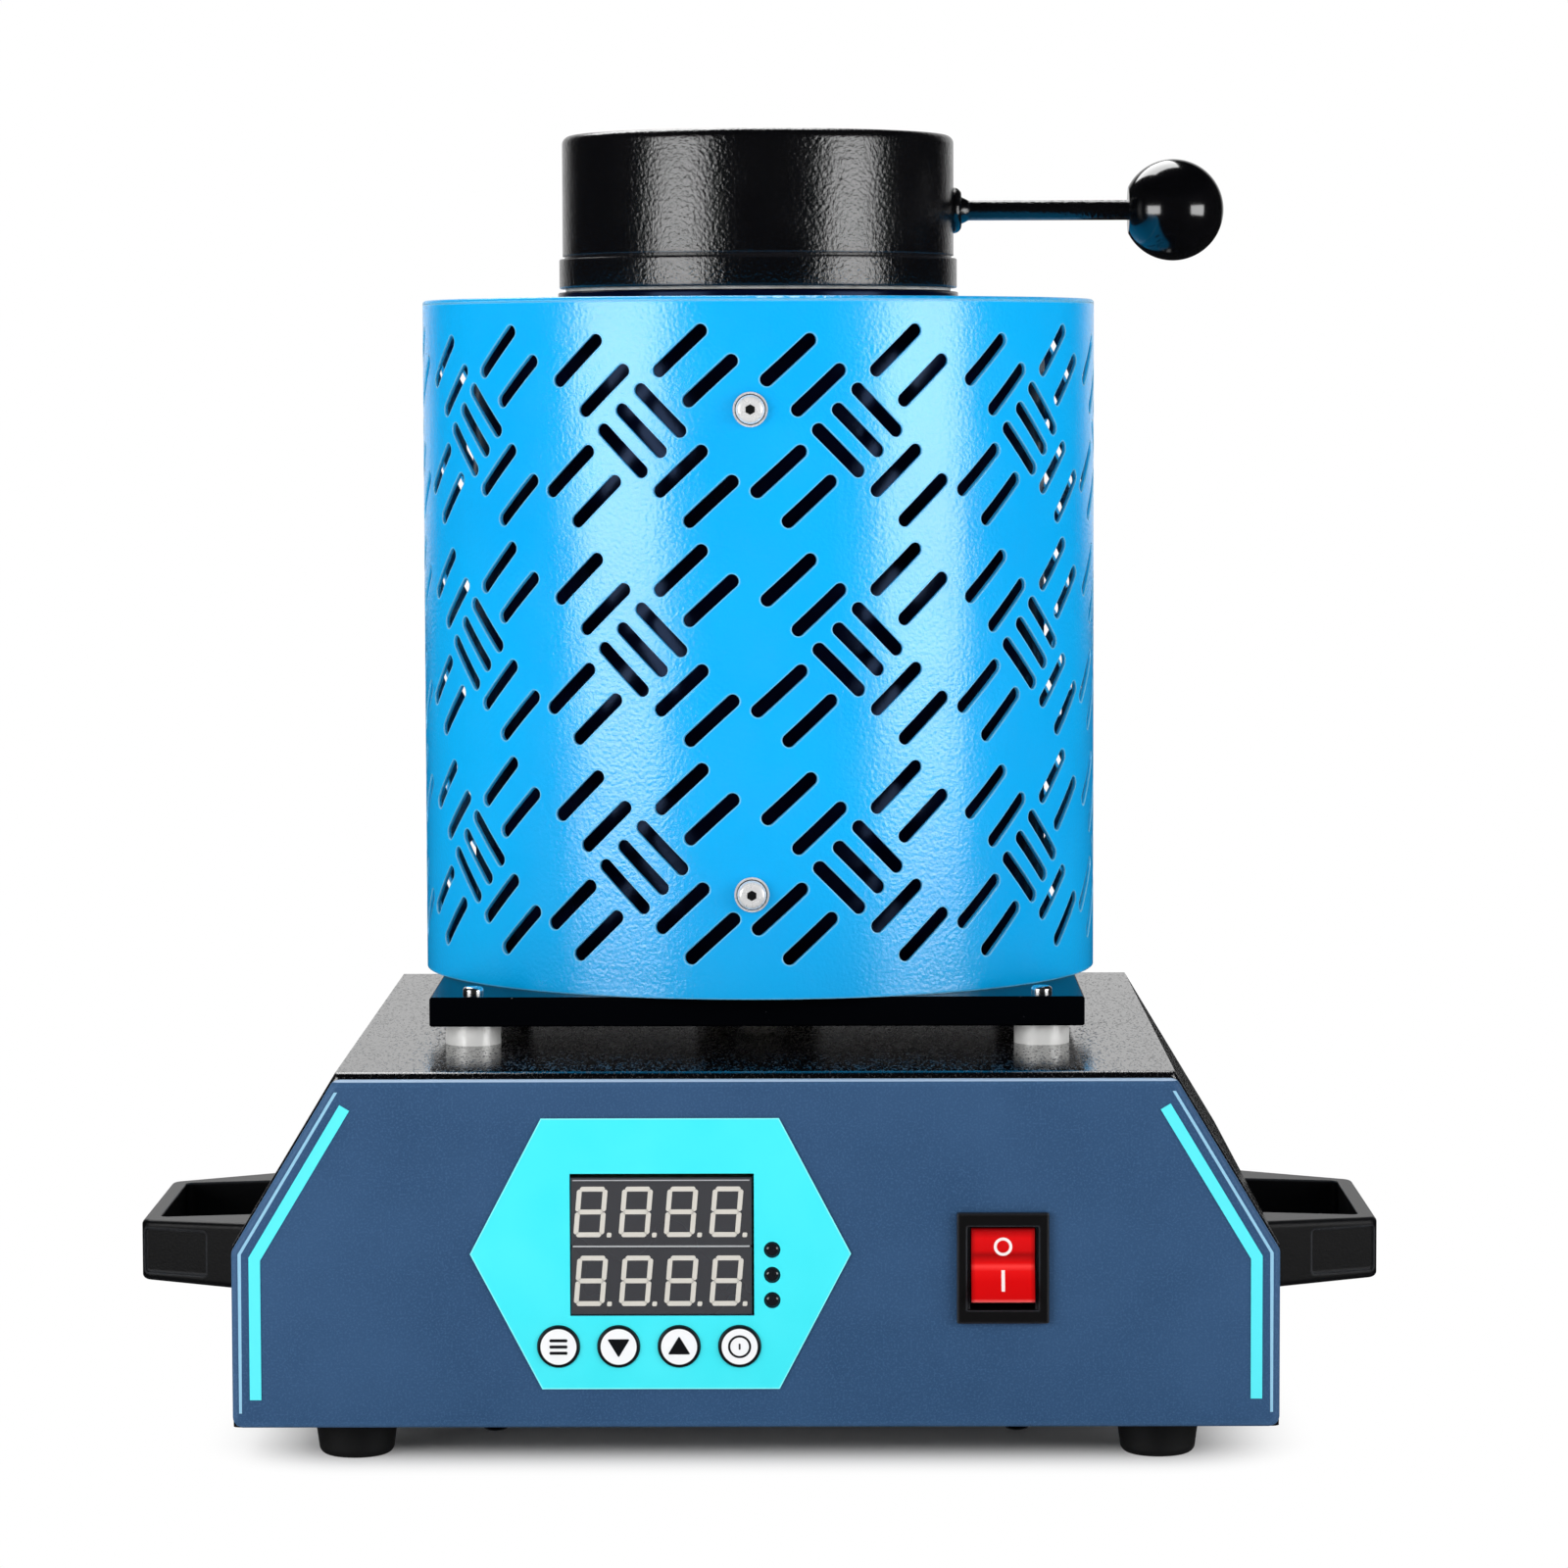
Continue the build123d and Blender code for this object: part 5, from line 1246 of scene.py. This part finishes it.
# %% [markdown]
# ## Floor, backdrop and light
#
# The furnace stands on white in a bright studio. The floor is a large sheet that takes the
# soft shadow under the furnace and fades into pure white a little way out, so no horizon
# shows. What the camera sees of the room is white, while the light that falls on the furnace
# stays at a plain level, so that colours come out as they are painted. Shiny surfaces see the
# floor dark, like the room behind the camera, because that is what keeps upright black faces
# black.
#
# The shadow fades over a short way outside a rectangle under the base. How far outside a point
# lies is found as for a rounded box: the way past the rectangle in each direction, and then the
# length of both together.

# %% Floor
NUMBER_MATHS = "ShaderNodeMath"
FLOOR_SIZE = 12
SHADOW_HALF = (0.111, 0.085, 0)
SHADOW_FADE = 0.05
ROOM_DARK = 0.012
PURE_WHITE = (1.0, 1.0, 1.0, 1.0)

deselect()
bpy.ops.mesh.primitive_plane_add(size=FLOOR_SIZE, location=(0, 0, 0))
floor = bpy.context.object
floor.name = "floor"
floor_white = finish("floor_white", screen(246, 246, 247), 0.55)
raise_grain(floor_white, 4, 0.1 * MM, 1.0)
tree = floor_white.node_tree
path = tree.nodes.new("ShaderNodeLightPath")
by_camera = path.outputs["Is Camera Ray"]
by_gloss = path.outputs["Is Glossy Ray"]
through_glass = path.outputs["Is Transmission Ray"]

outwards = result(tree, VECTOR_MATHS, (place_on(tree),), operation="ABSOLUTE")
outwards = result(tree, VECTOR_MATHS, (outwards, SHADOW_HALF), operation="SUBTRACT")
outwards = result(tree, VECTOR_MATHS, (outwards, (0, 0, 0)), operation="MAXIMUM")
distance = result(tree, VECTOR_MATHS, (outwards,), "Value", operation="LENGTH")
fade_range = (distance, 0.0, SHADOW_FADE)
fade = result(tree, "ShaderNodeMapRange", fade_range, interpolation_type="SMOOTHSTEP")
seen = result(tree, NUMBER_MATHS, (by_camera, by_gloss), operation="MAXIMUM")
seen = result(tree, NUMBER_MATHS, (seen, through_glass), operation="MAXIMUM")
share = result(tree, NUMBER_MATHS, (seen, fade), operation="MULTIPLY")

strength = result(tree, NUMBER_MATHS, (by_camera, ROOM_DARK), operation="MAXIMUM")
glow = result(tree, "ShaderNodeEmission", (PURE_WHITE, strength))
paint = tree.nodes["Principled BSDF"].outputs[0]
surface = result(tree, "ShaderNodeMixShader", (share, paint, glow))
feed(tree, tree.nodes["Material Output"].inputs["Surface"], surface)
floor.data.materials.append(floor_white)
floor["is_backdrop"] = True
print("floor", FLOOR_SIZE, "m across")

# %% [markdown]
# The world is white to the camera. For reflections it is a white backdrop behind the furnace,
# which ends above at the ceiling and dims towards the camera's side of the room. Diffuse light
# gets an even, moderate level from all round.

# %% World
BACKDROP_START = 0.78
BACKDROP_FULL = 0.97
CEILING_START = 0.42
CEILING_FULL = 0.6
EVEN_LIGHT = 0.55
ROOM_GREY = (0.8, 0.8, 0.8, 1.0)

world = bpy.data.worlds.new("studio")
bpy.context.scene.world = world
world.use_nodes = True
tree = world.node_tree
tree.nodes.clear()
path = tree.nodes.new("ShaderNodeLightPath")
rays = (path.outputs["Is Glossy Ray"], path.outputs["Is Transmission Ray"])
shiny = result(tree, NUMBER_MATHS, rays, operation="MAXIMUM")
split = tree.nodes.new("ShaderNodeSeparateXYZ")
feed(tree, split.inputs["Vector"], result(tree, "ShaderNodeTexCoord", output="Generated"))
behind, below = [
    result(tree, "ShaderNodeMapRange", spread, interpolation_type="SMOOTHSTEP")
    for spread in (
        (split.outputs["Y"], BACKDROP_START, BACKDROP_FULL, ROOM_DARK, 1.0),
        (split.outputs["Z"], CEILING_START, CEILING_FULL, 1.0, ROOM_DARK),
    )
]
level = result(tree, NUMBER_MATHS, (behind, below), operation="MULTIPLY")
mirrored = result(tree, "ShaderNodeBackground", (ROOM_GREY, level))
even = result(tree, "ShaderNodeBackground", (PURE_WHITE, EVEN_LIGHT))
backdrop = result(tree, "ShaderNodeBackground", (PURE_WHITE, 1.0))
room = result(tree, "ShaderNodeMixShader", (shiny, even, mirrored))
by_camera = path.outputs["Is Camera Ray"]
studio = result(tree, "ShaderNodeMixShader", (by_camera, room, backdrop))
output = tree.nodes.new("ShaderNodeOutputWorld")
feed(tree, output.inputs["Surface"], studio)
print("world: even light", EVEN_LIGHT)

# %% [markdown]
# Two soft boxes stand low, left and right of the camera, and draw the broad bands on the drum
# and the two glints on the ball. Each is built from two halves, one above the other. Both light
# the furnace, but reflections show only the lower one. Looked at from behind at a flat angle,
# the tops of the drum and the lid would otherwise mirror the upper half and burn out to white.
# A third box hangs overhead, a little behind the furnace.

# %% Soft boxes
SIDE_DISTANCE = 1.7
SIDE_DROP = 0.22
SIDE_BOXES = (("left", -46, 1.0, 12.6), ("right", 57, 0.95, 12.0))
HALVES = (("low", 0.3, 0.56), ("high", 0.75, 0.34))


def soft_box(name, azimuth, distance, height, size, power, drop):
    """An area lamp at an azimuth from the front, aimed inwards at a point this far below it."""
    lamp = bpy.data.objects.new(name, bpy.data.lights.new(name, "AREA"))
    bpy.context.scene.collection.objects.link(lamp)
    lamp.data.shape = "RECTANGLE"
    lamp.data.size, lamp.data.size_y = size
    lamp.data.energy = power
    turn = radians(azimuth)
    place = Vector((sin(turn) * distance, -cos(turn) * distance, height))
    beam = Vector((0, 0, height - drop)) - place
    aim = beam.to_track_quat("-Z", "Y").to_matrix().to_4x4()
    lamp.matrix_world = Matrix.Translation(place) @ aim
    return lamp


whole = sum(tall for _, _, tall in HALVES)
for side, azimuth, wide, watts in SIDE_BOXES:
    for half, height, tall in HALVES:
        name, size, power = f"soft_box_{side}_{half}", (wide, tall), watts * tall / whole
        lamp = soft_box(name, azimuth, SIDE_DISTANCE, height, size, power, SIDE_DROP)
        lamp.visible_glossy = half == "low"
soft_box("soft_box_top", 196, 1.15, 1.75, (1.25, 1.4), 27, 1.5)
print("two soft boxes in halves, and one overhead")

# %% [markdown]
# ## Last settings
#
# The Standard view shows each colour as it is written, where Blender's usual one would dull
# the bright blue. The last line prints the dressed furnace's size, which should agree with the
# bare solids' to a hair, because the details here are only prints.

# %% View settings and the dressed size
bpy.context.scene.view_settings.view_transform = "Standard"
low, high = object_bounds()
print("dressed size in mm", [round((b - a) / MM, 1) for a, b in zip(low, high)])
